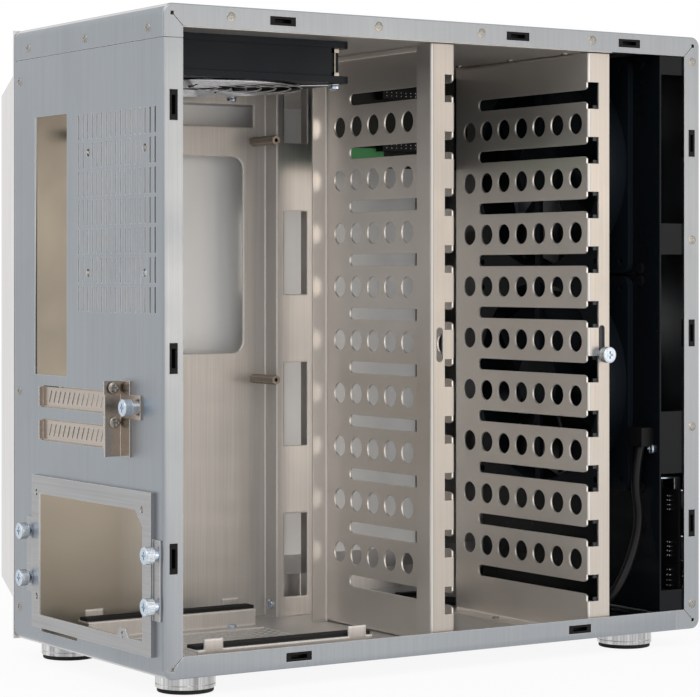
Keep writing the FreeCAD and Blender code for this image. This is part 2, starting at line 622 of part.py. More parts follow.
def vent_block(body, first_column, columns, first_row, rows, row_step):
    """Part of the rear vent grid: a slot repeated in even columns and rows."""
    x = f"(vent_x + {first_column} * vent_pitch_x)"
    z = f"(vent_z + {first_row} * vent_pitch_z)"
    slot = pocket(body, "XZ", f"{END} - 2 * wall", f"{END} + wall", rectangle(
        f"{x} - vent_slot_width / 2", f"{x} + vent_slot_width / 2",
        f"{z} - vent_slot_height / 2", f"{z} + vent_slot_height / 2"))
    directions = [("X", "vent_pitch_x", columns)]
    if rows > 1:
        directions.append(("Z", f"{row_step} * vent_pitch_z", rows))
    repeat(body, slot, *directions)


def rear_bottom_shell():
    """Sheet folded over the rear and bottom, with the vent, board, slot and power supply openings."""
    body = shell_block("rear_bottom_shell")
    across = (f"-{SIDE} - wall", f"{SIDE} + wall")
    seam_y, seam_z = f"(front_return + seam_gap - {END})", "(case_height - rear_lip - seam_gap)"
    step_y, step_z = f"({END} - 3 * flange_width)", "(3 * flange_width)"
    pocket(body, "YZ", *across, [
        (f"-{END} - wall", "-wall"), (seam_y, "-wall"), (seam_y, step_z), (step_y, step_z), (step_y, seam_z),
        (f"{END} + wall", seam_z), (f"{END} + wall", "case_height + wall"),
        (f"-{END} - wall", "case_height + wall")])
    pocket(body, "YZ", *across, mitre(1, False))
    pocket(body, "YZ", *across, *clip_places("clip_length", "clip_height", "lower", "rear"))
    port_right = f"({STANDOFF_TIP} + port_shift)"
    port_low = "(board_level + port_lift)"
    board_ports = rectangle(f"{port_right} - port_width", port_right, port_low, f"{port_low} + port_height")
    slots = [rectangle(SLOT_NEAR, SLOT_FAR, f"{z} - slot_height / 2", f"{z} + slot_height / 2")
             for z in (UPPER_SLOT, LOWER_SLOT)]
    supply = rectangle(f"{PSU_LEFT} + psu_seat", f"{PSU_RIGHT} - psu_seat",
                       "psu_low + psu_seat", f"{PSU_TOP} - psu_seat")
    half = "rear_fan_pitch / 2"
    fan_holes = [regular(f"vent_x + {side} * {half}", f"vent_z + {level} * {half}",
                         "rear_fan_hole / 2", TINY_ROUND) for side in (-1, 1) for level in (-1, 1)]
    pocket(body, "XZ", f"{END} - 2 * wall", f"{END} + wall", board_ports, supply, *slots, *fan_holes)
    for block in VENT_BLOCKS:
        vent_block(body, *block)
    finish(body, "rear_bottom_shell")


def foot_places():
    """Centres of the four feet."""
    return [(f"{side} * ({SIDE} - foot_side)", y) for side in (-1, 1)
            for y in (f"{END} - foot_rear", f"foot_front - {END}")]


def box(left, right, front, rear, low, high):
    """A plain block between three pairs of levels."""
    block = doc.addObject("Part::Box", "block")
    for name, start, end in (("Length", left, right), ("Width", front, rear), ("Height", low, high)):
        bind(block, name, f"({end}) - ({start})")
    for axis, start in (("x", left), ("y", front), ("z", low)):
        bind(block, f"Placement.Base.{axis}", start)
    return block


def group(items, label):
    """Several separate solids of one kind under one name."""
    compound = doc.addObject("Part::Compound", label)
    compound.Links = items
    finish(compound, label)


def column(x, y, low, high, radius, sides):
    """An upright many-sided column."""
    post = doc.addObject("Part::Prism", "column")
    post.Polygon = sides
    bind(post, "Circumradius", radius)
    bind(post, "Height", f"({high}) - ({low})")
    for axis, start in (("x", x), ("y", y), ("z", low)):
        bind(post, f"Placement.Base.{axis}", start)
    return post


def feet():
    """Turned rings under the bottom sheet, each standing on a rubber pad."""
    joint = "(foot_pad_height - foot_height)"
    pad_radius = "(foot_diameter / 2 - foot_pad_inset)"
    steps = [("feet", joint, "0", "foot_diameter / 2"), ("foot_pads", "-foot_height", joint, pad_radius)]
    for label, low, high, radius in steps:
        group([column(x, y, low, high, radius, LARGE_ROUND) for x, y in foot_places()], label)


def clip_sockets(label, side):
    """Slotted sockets in the side flanges that take the side panel's tongues."""
    body = new_body(label)
    face, back = f"{side} * {SIDE}", f"{side} * ({SIDE} - clip_depth)"
    floor_level = f"{side} * ({SIDE} - clip_slot_depth)"
    low, high = (back, face) if side > 0 else (face, back)
    pad(body, "YZ", low, high, *clip_places("clip_length", "clip_height"))
    low, high = (floor_level, f"{face} + wall") if side > 0 else (f"{face} - wall", floor_level)
    pocket(body, "YZ", low, high, *clip_places("clip_slot_length", "clip_slot_height"))
    finish(body, label)


# Motherboard tray and inner top plate

def motherboard_tray():
    """Flat tray with a raised cable duct along its front edge."""
    body = new_body("motherboard_tray")
    duct = f"({TRAY} - duct_rise)"
    front, back, rear = "(-duct_front)", "(duct_run - duct_front)", f"({END} - tray_rear)"
    duct_in, front_in, back_in = f"({duct} + tray_sheet)", f"({front} + tray_sheet)", f"({back} - tray_sheet)"
    pad(body, "XY", "wall", PLATE_Z, [
        (TRAY, rear), (SIDE_IN, rear), (SIDE_IN, back_in), (duct_in, back_in), (duct_in, front_in),
        (SIDE_IN, front_in), (SIDE_IN, front), (duct, front), (duct, back), (TRAY, back)])
    window_front = f"({BOARD_FRONT} + tray_window_ahead)"
    window_low = "(board_level + tray_window_lift)"
    window = rectangle(window_front, f"{window_front} + tray_window_run",
                       window_low, f"{window_low} + tray_window_height")
    slit_low = "(board_level + board_rise + tray_slit_lift)"
    slit = rectangle(BOARD_FRONT, f"{BOARD_FRONT} + tray_slit_run",
                     slit_low, f"{slit_low} + tray_slit_height")
    clip = f"{CLIPS['lower'][0]}"
    notch = rectangle(f"{clip} - clip_length / 2 - clip_room", f"{clip} + clip_length / 2 + clip_room",
                      "0", "clip_edge + clip_height / 2 + clip_room")
    pocket(body, "YZ", f"{TRAY} - tray_sheet", f"{SIDE_IN} + tray_sheet", window, slit, notch)
    room = size.case_height - size.plate_drop - size.duct_slot_margin - size.duct_slot_first
    count = floor((room - size.duct_slot_height) / size.duct_slot_pitch) + 1
    middle = "(duct_run / 2 - duct_front)"
    across = (f"{middle} - duct_slot_run / 2", f"{middle} + duct_slot_run / 2")
    sheet = (f"{duct} - tray_sheet", f"{duct} + 2 * tray_sheet")
    slot = pocket(body, "YZ", *sheet, rectangle(
        *across, "duct_slot_first", "duct_slot_first + duct_slot_height"))
    repeat(body, slot, ("Z", "duct_slot_pitch", count))
    if room - count * size.duct_slot_pitch > size.duct_slot_run:
        short_low = f"duct_slot_first + {count} * duct_slot_pitch"
        pocket(body, "YZ", *sheet, rectangle(*across, short_low, f"{PLATE_Z} - duct_slot_margin"))
    low = size.board_level + size.tray_window_lift
    ends = (low, low + size.tray_window_height)
    dress(body, "Fillet", "tray_window_corner", lambda edge: runs_along(edge, ALONG_X) and near(
        edge.Length, size.tray_sheet) and any(near(edge.Vertexes[0].Point.z, z) for z in ends))
    finish(body, "motherboard_tray")


def standoff_places():
    """Board screw places on the tray: along the case and up it."""
    upper = "(board_level + board_rise)"
    return [(BOARD_FRONT, upper), (BOARD_FRONT, "board_level"),
            (f"({BOARD_REAR} - board_offset)", upper), (BOARD_REAR, "board_level")]


def motherboard_standoffs():
    """Hexagonal standoffs with a thread bore at the board's end."""
    body = new_body("motherboard_standoffs")
    corner = "(standoff_flats / sqrt(3))"
    pad(body, "YZ", STANDOFF_TIP, TRAY, *[regular(y, z, corner, HEXAGON) for y, z in standoff_places()])
    pocket(body, "YZ", f"{STANDOFF_TIP} - wall", f"{STANDOFF_TIP} + standoff_bore_depth",
           *[circle(y, z, "standoff_bore / 2") for y, z in standoff_places()])
    finish(body, "motherboard_standoffs")


def top_inner_plate():
    """Plate that hangs the top fan between the case sides, its edges turned up against the flanges."""
    body = new_body("top_inner_plate")
    front, rear = f"(plate_front - {END})", f"({END} - plate_rear)"
    pad(body, "XY", PLATE_Z, f"{PLATE_Z} + plate_sheet", rectangle(f"-{SIDE_IN}", SIDE_IN, front, rear),
        regular("0", TOP_FAN_Y, "(fan_bore / 2 + plate_sheet)", LARGE_ROUND))
    side = rectangle(front, rear, PLATE_Z, f"{PLATE_Z} + plate_side")
    pad(body, "YZ", f"-{SIDE_IN}", f"plate_sheet - {SIDE_IN}", side)
    pad(body, "YZ", f"{SIDE_IN} - plate_sheet", SIDE_IN, side)
    notches = [rectangle(f"{y} - clip_length / 2 - clip_room", f"{y} + clip_length / 2 + clip_room",
                         "case_height - clip_edge - clip_height / 2 - clip_room", "case_height")
               for y in CLIPS["upper"][:2]]
    pocket(body, "YZ", f"-{SIDE}", SIDE, *notches)
    finish(body, "top_inner_plate")


# Fans, drawn round the Z axis with the motor plate at z = 0

def fan_frame(label, x, y, z, turn):
    """Open fan frame: two square flanges joined by a round duct, with the motor plate on struts."""
    body = new_body(label)
    half, cut = "fan_size / 2", "fan_corner"
    square = [(f"{cut} - {half}", f"-{half}"), (f"{half} - {cut}", f"-{half}"), (half, f"{cut} - {half}"),
              (half, f"{half} - {cut}"), (f"{half} - {cut}", half), (f"{cut} - {half}", half),
              (f"-{half}", f"{half} - {cut}"), (f"-{half}", f"{cut} - {half}")]
    bore = regular("0", "0", "fan_bore / 2", LARGE_ROUND)
    pad(body, "XY", "0", "fan_flange", square, bore)
    duct = regular("0", "0", "(fan_bore / 2 + fan_duct_wall)", LARGE_ROUND)
    pad(body, "XY", "fan_flange", "fan_depth - fan_flange", duct, bore)
    pad(body, "XY", "fan_depth - fan_flange", "fan_depth", square, bore)
    reach = "(fan_bore / 2 + fan_duct_wall / 2)"
    along, thick = (f"-{reach}", reach), ("-fan_strut / 2", "fan_strut / 2")
    for outline in (rectangle(*along, *thick), rectangle(*thick, *along),
                    regular("0", "0", "fan_hub / 2", MIDDLE_ROUND)):
        pad(body, "XY", "0", "fan_motor_plate", outline)
    pocket(body, "XY", "-wall", "fan_motor_plate + wall", circle("0", "0", "fan_pin / 2 + fan_pin_clearance"))
    finish(body, label, x, y, z, turn)


def fan_rotor(label, x, y, z, turn):
    """Hub with swept blades, turning on a pin in the motor plate's bush."""
    body = new_body(label)
    base = "(fan_motor_plate + fan_hub_gap)"
    crown = "(fan_depth - fan_hub_gap)"
    pad(body, "XY", "fan_motor_plate - fan_pin_engage", base, circle("0", "0", "fan_pin / 2"))
    root, tip = "(fan_hub / 2 - 4 * blade_thickness)", "(fan_bore / 2 - fan_tip_gap - blade_tip_drop)"
    middle = "((fan_depth + fan_motor_plate) / 2)"
    start, end = "(-blade_chord / 2)", "(blade_chord / 2)"
    low, high = f"({middle} - blade_rise / 2)", f"({middle} + blade_rise / 2)"
    pad(body, "XY", base, crown, regular("0", "0", "fan_hub / 2", MIDDLE_ROUND))
    blade = pad(body, "YZ", root, tip, [
        (start, f"{low} - blade_thickness / 2"), (end, f"{high} - blade_thickness / 2"),
        (end, f"{high} + blade_thickness / 2"), (start, f"{low} + blade_thickness / 2")])
    blade.UseCustomVector = True
    blade.Direction = Vector(1, -size.blade_sweep / size.fan_bore, 0)
    doc.recompute()
    ring = body.newObject("PartDesign::PolarPattern", f"{label}_blades")
    ring.Originals = [blade]
    ring.Axis = (next(item for item in body.Origin.OriginFeatures if item.Role == "Z_Axis"), [""])
    ring.Angle = 360
    bind(ring, "Occurrences", "blade_count")
    body.Tip = ring
    doc.recompute()
    finish(body, label, x, y, z, turn)


def top_fan_guard():
    """Finger guard under the top fan: rings on two crossing bars that reach its corner screws."""
    body = new_body("top_fan_guard")
    low, high = f"({PLATE_Z} - fan_depth - guard_depth)", f"({PLATE_Z} - fan_depth)"
    rings = []
    for k in range(3):
        radius = f"(guard_outer - {k} * guard_step)"
        rings += [regular("0", TOP_FAN_Y, edge, MIDDLE_ROUND)
                  for edge in (radius, f"({radius} - guard_ring)")]
    reach, across = "guard_pitch / 2", "guard_ring / 2"

    def bar(lean):
        corners = [(1, 1, -1), (1, -1, 1), (-1, -1, 1), (-1, 1, -1)]
        return [(f"{lean} * ({u} * {reach} + {v} * {across})",
                 f"{TOP_FAN_Y} + {u} * {reach} + {w} * {across}") for u, v, w in corners]

    pad(body, "XY", low, high, bar(1))
    pad(body, "XY", low, high, bar(-1))
    pad(body, "XY", low, high, *rings)
    finish(body, "top_fan_guard")


def fans():
    """The top fan blows up through the inner plate and the front fans stand behind their bracket."""
    upside_down = Rotation(Vector(1, 0, 0), 180)
    facing_front = Rotation(Vector(1, 0, 0), 90)
    rear_of_fan = f"({BRACKET} + fan_depth)"
    for make, piece in ((fan_frame, "frame"), (fan_rotor, "rotor")):
        make(f"top_fan_{piece}", "0", TOP_FAN_Y, PLATE_Z, upside_down)
        make(f"front_fan_upper_{piece}", "0", rear_of_fan, UPPER_FAN_Z, facing_front)
        make(f"front_fan_lower_{piece}", "0", rear_of_fan, LOWER_FAN_Z, facing_front)
    top_fan_guard()


def front_fan_bracket():
    """Plate across the front of the case that carries both fans on tabs against the side flanges."""
    body = new_body("front_fan_bracket")
    low, top = "bracket_low", "(case_height - bracket_drop)"
    pad(body, "XZ", f"{BRACKET} - bracket_sheet", BRACKET, rectangle(f"-{SIDE_IN}", SIDE_IN, low, top),
        *[regular("0", z, "fan_bore / 2", LARGE_ROUND) for z in (UPPER_FAN_Z, LOWER_FAN_Z)])
    middle, upper = f"({low} + bracket_tab_middle)", f"({low} + bracket_tab_upper)"
    spans = [(low, f"{low} + bracket_tab_end"), (middle, f"{middle} + bracket_tab_middle_height"),
             (upper, f"{upper} + bracket_tab_upper_height"), (f"{top} - bracket_tab_end", top)]
    tabs = [rectangle(f"bracket_tab_gap - {END}", BRACKET, *span) for span in spans]
    pad(body, "YZ", f"-{SIDE_IN}", f"bracket_sheet - {SIDE_IN}", *tabs)
    pad(body, "YZ", f"{SIDE_IN} - bracket_sheet", SIDE_IN, *tabs)
    finish(body, "front_fan_bracket")


# Drive cage

def cage_wall(label, face, side, post_width, lip):
    """One perforated cage wall: drive slots open at the post, holes between, edges folded all round."""
    body = new_body(label)

    def away(distance):
        return f"({face} + {side} * ({distance}))"

    def span(first, second):
        return (away(first), away(second)) if side > 0 else (away(second), away(first))

    broken, post_in, far_in = f"({POST} + post_break)", f"({POST} + cage_sheet)", f"({CAGE_FAR} - cage_sheet)"
    section = [(CAGE_FAR, away("cage_far_flange")), (CAGE_FAR, away("0")), (broken, away("0")),
               (POST, away("post_break"))]
    if lip:
        lip_end, lip_in = f"({POST} + post_lip)", away(f"{post_width} - cage_sheet")
        section += [(POST, away(f"{post_width} - post_break")), (broken, away(post_width)),
                    (lip_end, away(post_width)), (lip_end, lip_in), (post_in, lip_in)]
    else:
        section += [(POST, away(post_width)), (post_in, away(post_width))]
    section += [(post_in, away("cage_sheet")), (far_in, away("cage_sheet")),
                (far_in, away("cage_far_flange"))]
    pad(body, "XY", "wall", PLATE_Z, section)
    inset = f"{POST} + cage_flange_inset"
    pad(body, "XY", f"{PLATE_Z} - cage_sheet", PLATE_Z, rectangle(inset, CAGE_FAR, *span("0", "cage_foot")))
    pad(body, "XY", "wall", "wall + cage_sheet", rectangle(inset, CAGE_FAR, *span("-cage_foot", "0")))

    through_wall = span("-wall", "cage_sheet + cut_past")
    through_post = (f"{POST} - wall", f"{post_in} + cut_past")
    rise = size.case_height - size.plate_drop - size.bay_first
    bays = floor((rise - size.bay_top_margin) / size.bay_pitch) + 1
    end, half, mouth = f"({CAGE_FAR} - drive_slot_end)", "drive_slot_height / 2", "notch_height / 2"
    upper = [(f"{POST} - wall", mouth), (post_in, mouth), (f"{post_in} + mouth_flare", half),
             (f"{end} - drive_slot_round", half), (end, f"{half} - drive_slot_round")]
    slot = [(x, f"bay_first + {z}") for x, z in upper]
    slot += [(x, f"bay_first - ({z})") for x, z in reversed(upper)]
    repeat(body, pocket(body, "XZ", *through_wall, slot), ("Z", "bay_pitch", bays))
    notch = rectangle(*span("-wall", "notch_width"), f"bay_first - {mouth}", f"bay_first + {mouth}")
    repeat(body, pocket(body, "YZ", *through_post, notch), ("Z", "bay_pitch", bays))
    guide = away(f"{post_width} - guide_edge")
    pocket(body, "YZ", *through_post, rectangle(
        f"{guide} - guide_width / 2", f"{guide} + guide_width / 2", "guide_low", "guide_low + guide_height"))
    room = size.cage_run - size.cage_hole_first - size.cage_hole_margin
    columns = floor(room / size.cage_hole_pitch) + 1
    hole = regular(f"{POST} + cage_hole_first", "bay_first + bay_pitch / 2", "cage_hole / 2", HEXAGON)
    repeat(body, pocket(body, "XZ", *through_wall, hole),
           ("X", "cage_hole_pitch", columns), ("Z", "bay_pitch", bays - 1))
    finish(body, label)
    return bays


def thumbscrew(label, axis_plane, direction, seat, places):
    """Thumbscrews with a collar under a many-sided head, standing on a flat seat."""
    body = new_body(label)
    collar_end = f"({seat} + {direction} * thumb_collar_length)"
    head_end = f"({collar_end} + {direction} * thumb_head_length)"
    steps = [(seat, collar_end, "thumb_collar / 2"), (collar_end, head_end, "thumb_head / 2")]
    for start, end, radius in steps:
        low, high = (start, end) if direction > 0 else (end, start)
        pad(body, axis_plane, low, high, *[regular(u, v, radius, SMALL_ROUND) for u, v in places])
    return body


def drive_lock(bays):
    """Notched bar behind the front post, with a thumbscrew that slides in the post's guide slot."""
    body = new_body("lock_bar")
    inner = f"({POST} + cage_sheet + lock_gap)"
    guide = f"({BAY_FRONT} - post_front + guide_edge)"
    edge = f"({guide} - lock_width / 2)"
    low, high = "(bay_first - bay_pitch / 2)", f"(bay_first + {bays - 0.5} * bay_pitch - lock_travel)"
    pad(body, "YZ", inner, f"{inner} + lock_sheet", rectangle(edge, f"{edge} + lock_width", low, high))
    tooth = pocket(body, "YZ", f"{inner} - wall", f"{inner} + lock_sheet + wall", rectangle(
        f"{edge} + lock_width - lock_tooth", f"{edge} + lock_width + wall",
        "bay_first - lock_notch / 2", "bay_first + lock_notch / 2"))
    repeat(body, tooth, ("Z", "bay_pitch", bays))
    finish(body, "lock_bar")
    height = "(guide_low + guide_width / 2)"
    knob = thumbscrew("lock_knob", "YZ", -1, f"({POST} - lock_gap)", [(guide, height)])
    pad(knob, "YZ", f"{POST} - lock_gap", inner, regular(guide, height, "lock_shank / 2", TINY_ROUND))
    finish(knob, "lock_knob")


def drive_backplane(bays):
    """Board across the cage's far end for the two highest bays, with its connectors on both faces."""
    top = f"({PLATE_Z} - plane_drop)"
    face = f"({CAGE_FAR} + plane_sheet)"
    group([box(CAGE_FAR, face, f"{BAY_FRONT} - plane_overlap", f"{BAY_REAR} + plane_overlap",
               f"{top} - plane_height", top)], "backplane_board")
    levels = [f"(bay_first + {k} * bay_pitch + drive_plug_height)" for k in (bays - 2, bays - 1)]
    spans = [(f"{z} - drive_plug_height / 2", f"{z} + drive_plug_height / 2") for z in levels]
    group([box(f"{CAGE_FAR} - drive_plug_depth", CAGE_FAR, "drive_plug_y - drive_plug_run / 2",
               "drive_plug_y + drive_plug_run / 2", *span) for span in spans], "drive_connectors")
    starts = [f"(drive_plug_y + {k} * cable_socket_pitch)" for k in (-1, 0)]
    group([box(face, f"{face} + cable_socket_depth", y, f"{y} + cable_socket_run", *span)
           for span in spans for y in starts], "cable_sockets")


# Rear fittings

def psu_bracket():
    """Raised frame on the rear face that the power supply bolts to, with an ear at each side."""
    body = new_body("psu_bracket")
    face = f"({END} + psu_bracket_rise)"
    under = f"({face} - psu_sheet)"
    outer = rectangle(PSU_LEFT, PSU_RIGHT, "psu_low", PSU_TOP)
    left, right = f"({PSU_LEFT} + psu_open_left)", f"({PSU_RIGHT} - psu_open_right)"
    low, top = "(psu_low + psu_open_low)", f"({PSU_TOP} - psu_open_top)"
    screw_x, screw_z = f"({left} + psu_screw_side)", f"({PSU_TOP} - psu_screw_drop)"
    far_x, bump = f"({screw_x} + psu_screw_span)", f"({screw_x} + psu_screw_inset)"
    opening = [(left, low), (f"{bump} - psu_bump_width / 2", low),
               (f"{bump} - psu_bump_width / 4", f"{low} + psu_bump_height"),
               (f"{bump} + psu_bump_width / 4", f"{low} + psu_bump_height"),
               (f"{bump} + psu_bump_width / 2", low), (right, low), (right, top),
               (f"{left} + psu_corner", top), (left, f"{top} - psu_corner")]
    upper = [circle(x, screw_z, "psu_screw_hole / 2") for x in (screw_x, far_x)]
    lower = [regular(x, z, "psu_screw_hole / 2", SMALL_ROUND)
             for x, z in ((far_x, f"{screw_z} - psu_screw_low"), (bump, f"{screw_z} - psu_screw_bottom"))]
    pad(body, "XZ", under, face, outer, opening, *upper, *lower)
    pad(body, "XZ", END, under, outer, rectangle(
        f"{PSU_LEFT} + psu_sheet", f"{PSU_RIGHT} - psu_sheet",
        "psu_low + psu_sheet", f"{PSU_TOP} - psu_sheet"))
    ear_low, ear_top = "psu_low + psu_ear_low", "psu_low + psu_ear_low + psu_ear_height"
    pad(body, "XZ", END, f"{END} + psu_ear_sheet",
        rectangle(f"{PSU_LEFT} - psu_ear_near", PSU_LEFT, ear_low, ear_top),
        rectangle(PSU_RIGHT, f"{PSU_RIGHT} + psu_ear_far", ear_low, ear_top))
    finish(body, "psu_bracket")
    middle = "(psu_low + psu_ear_low + psu_ear_height / 2)"
    places = [(x, f"{middle} + {side} * thumb_pitch / 2") for side in (-1, 1)
              for x in (f"{PSU_LEFT} - psu_ear_near / 2", f"{PSU_RIGHT} + psu_ear_far / 2")]
    screws = thumbscrew("psu_thumbscrews", "XZ", 1, f"({END} + psu_ear_sheet)", places)
    finish(screws, "psu_thumbscrews")


def psu_rail(label, foam_label, web, tab_edge):
    """Z-section rail with turned-up tabs, and the foam strip that the power supply rests on."""
    body = new_body(label)
    rear = f"({END} - rail_rear)"
    front = f"({rear} - rail_run)"
    top = "(wall + rail_height)"
    foot_edge, top_edge, web_in = f"({web} - rail_foot)", f"({web} + rail_top)", f"({web} + rail_sheet)"
    pad(body, "XZ", front, rear, [
        (foot_edge, "wall"), (web_in, "wall"), (web_in, f"{top} - rail_sheet"),
        (top_edge, f"{top} - rail_sheet"), (top_edge, top), (web, top),
        (web, "wall + rail_sheet"), (foot_edge, "wall + rail_sheet")])
    pad(body, "YZ", tab_edge, f"{tab_edge} + rail_sheet", *[
        rectangle(y, f"{y} + rail_tab_run", f"{top} - rail_sheet", f"{top} + rail_tab_rise")
        for y in (f"({front} + rail_tab_end)", f"({rear} - rail_tab_end - rail_tab_run)")])
    finish(body, label)
    middle = f"({web} + rail_top / 2)"
    group([box(f"{middle} - foam_width / 2", f"{middle} + foam_width / 2", front, rear,
               top, f"{top} + foam_thickness")], foam_label)


def slot_cover(label, level):
    """Vented cover strip in an expansion slot, its ear bent out of the rear face for the screw."""
    body = new_body(label)
    back = f"({END} - wall)"
    low, high = f"({level} - cover_height / 2)", f"({level} + cover_height / 2)"
    pad(body, "XZ", back, f"{back} + cover_sheet", rectangle(SLOT_NEAR, SLOT_FAR, low, high))
    ear_low, step = f"({low} + cover_sheet)", f"({high} - cover_sheet)"
    ear_top, ear_end, lift = f"({ear_low} + cover_ear_height)", f"({END} + ear_reach)", f"({END} + seam_gap)"
    pad(body, "YZ", SLOT_NEAR, f"{SLOT_NEAR} + cover_sheet", [
        (back, ear_low), (ear_end, ear_low), (ear_end, ear_top), (lift, ear_top), (lift, step), (back, step)])
    pad(body, "YZ", f"{SLOT_FAR} - cover_sheet", SLOT_FAR, rectangle(back, f"{END} + cover_tab", low, high))
    start = f"({SLOT_FAR} - cover_slit_first)"
    lean, width = f"({start} - cover_slit_lean)", "cover_slit_width"
    foot, head = f"({level} - cover_slit_height / 2)", f"({level} + cover_slit_height / 2)"
    slit = pocket(body, "XZ", f"{back} - wall", f"{back} + cover_sheet + cut_past", [
        (start, foot), (f"{start} + {width}", foot), (f"{lean} + {width}", head), (lean, head)])
    room = size.slot_run - 2 * size.cover_slit_first - size.cover_slit_lean - size.cover_slit_width
    count = min(size.cover_slits, floor(room / size.cover_slit_pitch) + 1)
    pattern = repeat(body, slit, ("X", "cover_slit_pitch", count))
    pattern.Reversed = True
    doc.recompute()
    finish(body, label)


def slot_clamp():
    """Angle that presses on the slot cover ears, held to the rear face by a thumbscrew."""
    body = new_body("slot_clamp")
    low = f"({LOWER_SLOT} - clamp_low)"
    inner = f"({SLOT_NEAR} - clamp_sheet)"
    lobe = f"({inner} - clamp_lobe)"
    screw_z = f"({UPPER_SLOT} - clamp_screw_drop)"
    pad(body, "YZ", inner, SLOT_NEAR, rectangle(END, f"{END} + ear_reach", low, f"{low} + clamp_height"))
    lobe_low, lobe_top = f"{screw_z} - clamp_lobe_half", f"{screw_z} + clamp_lobe_half"
    for outline in (rectangle(f"{inner} - clamp_foot", SLOT_NEAR, low, f"{low} + clamp_foot_height"),
                    rectangle(lobe, SLOT_NEAR, lobe_low, lobe_top)):
        pad(body, "XZ", END, f"{END} + clamp_sheet", outline)
    finish(body, "slot_clamp")
    screw = thumbscrew("clamp_thumbscrew", "XZ", 1, f"({END} + clamp_sheet)",
                       [(f"({lobe} + clamp_lobe_half)", screw_z)])
    finish(screw, "clamp_thumbscrew")


# Front controls

def front_ports():
    """Port board behind the front sheet with its USB ports, audio jacks and holding bracket."""
    rear = f"({PORT_BOARD} + port_board_sheet)"
    side = f"({PORT_X} - port_board_width / 2)"
    top = "(port_board_low + port_board_height)"
    group([box(side, f"{side} + port_board_width", PORT_BOARD, rear, "port_board_low", top)], "port_board")
    usb = new_body("usb_ports")
    levels = ("usb_low", "(usb_low + usb_pitch)")

    def shell(inset):
        half_width, half_height = f"(usb_width / 2 - {inset})", f"(usb_height / 2 - {inset})"
        return [rectangle(f"{PORT_X} - {half_width}", f"{PORT_X} + {half_width}",
                          f"{z} - {half_height}", f"{z} + {half_height}") for z in levels]

    pad(usb, "XZ", f"-{END}", PORT_BOARD, *shell("0"))
    pocket(usb, "XZ", f"-{END} - wall", f"usb_cavity - {END}", *shell("usb_wall"))
    finish(usb, "usb_ports")
    jacks = new_body("audio_jacks")
    places = [(PORT_X, "jack_low"), (PORT_X, "jack_low + jack_pitch")]
    pad(jacks, "XZ", f"-{END}", PORT_BOARD,
        *[regular(x, z, "jack_diameter / 2", SMALL_ROUND) for x, z in places])
    pocket(jacks, "XZ", f"-{END} - wall", f"usb_cavity - {END}",
           *[regular(x, z, "jack_bore / 2", SMALL_ROUND) for x, z in places])
    finish(jacks, "audio_jacks")
    bracket = new_body("port_bracket")
    front = f"({BRACKET} - bracket_sheet)"
    rear_in, front_in = f"({rear} + port_bracket_sheet)", f"({front} - port_bracket_sheet)"
    leg, under = f"({top} - port_bracket_leg)", f"({top} - port_bracket_sheet)"
    pad(bracket, "YZ", f"{PORT_X} - port_bracket_width / 2", f"{PORT_X} + port_bracket_width / 2", [
        (rear, leg), (rear_in, leg), (rear_in, under), (front_in, under), (front_in, leg), (front, leg),
        (front, top), (rear, top)])
    finish(bracket, "port_bracket")


def power_switch():
    """Switch barrel through the front sheet, with its button and the light above it."""
    body = new_body("power_switch")
    bore = "(button_diameter / 2 + button_gap)"
    barrel = f"({bore} + barrel_wall)"
    face = f"(-{END} - bezel_thickness)"
    seat = f"({face} - button_proud + button_length + button_travel + button_gap)"
    pad(body, "XZ", face, f"-{END}", regular("0", "button_z", f"({barrel} + bezel_width)", MIDDLE_ROUND))
    pad(body, "XZ", f"-{END}", f"barrel_length - {END}", regular("0", "button_z", barrel, MIDDLE_ROUND))
    pocket(body, "XZ", f"{face} - wall", seat, regular("0", "button_z", bore, MIDDLE_ROUND))
    finish(body, "power_switch")
    button = new_body("power_button")
    pad(button, "XZ", f"{face} - button_proud", f"{face} - button_proud + button_length",
        regular("0", "button_z", "button_diameter / 2", MIDDLE_ROUND))
    finish(button, "power_button")
    light = new_body("power_light")
    pad(light, "XZ", f"-{END}", f"light_length - {END}",
        regular("0", "button_z + light_rise", "light_diameter / 2", TINY_ROUND))
    finish(light, "power_light")


# Side panel

def right_side_panel():
    """Outer panel with a shallow hollow pan and the tongues that clip it to the case."""
    body = new_body("right_side_panel")
    inner = f"({SIDE} + panel_gap)"
    base = f"({inner} + panel_sheet)"
    face = f"({SIDE} + panel_bulge)"
    low, top = "panel_pan_low", "(case_height - panel_pan_top)"
    pad(body, "YZ", inner, base, rectangle(f"-{END}", END, "0", "case_height"))
    pad(body, "XZ", f"-{END}", END, [
        (base, low), (face, f"{low} + panel_slope"), (face, f"{top} - panel_slope"), (base, top)])
    rise = "(panel_bulge - panel_gap - panel_sheet)"
    lean = f"sqrt(panel_slope ^ 2 + {rise} ^ 2)"
    edge, shoulder = f"(panel_sheet * {lean} / {rise})", f"(panel_sheet * ({lean} - panel_slope) / {rise})"
    skin = f"({face} - panel_sheet)"
    pocket(body, "XZ", f"panel_sheet - {END}", f"{END} - panel_sheet", [
        (base, f"{low} + {edge}"), (skin, f"{low} + panel_slope + {shoulder}"),
        (skin, f"{top} - panel_slope - {shoulder}"), (base, f"{top} - {edge}")])
    pocket(body, "YZ", f"{inner} - wall", base, rectangle(
        f"panel_rim - {END}", f"{END} - panel_rim", f"{low} + {edge}", f"{top} - {edge}"))
    pad(body, "YZ", f"{SIDE} - tongue_reach", inner, *clip_places(
        "(clip_slot_length - 2 * tongue_clearance)", "(clip_slot_height - 2 * tongue_clearance)"))
    finish(body, "right_side_panel")


# Front lead

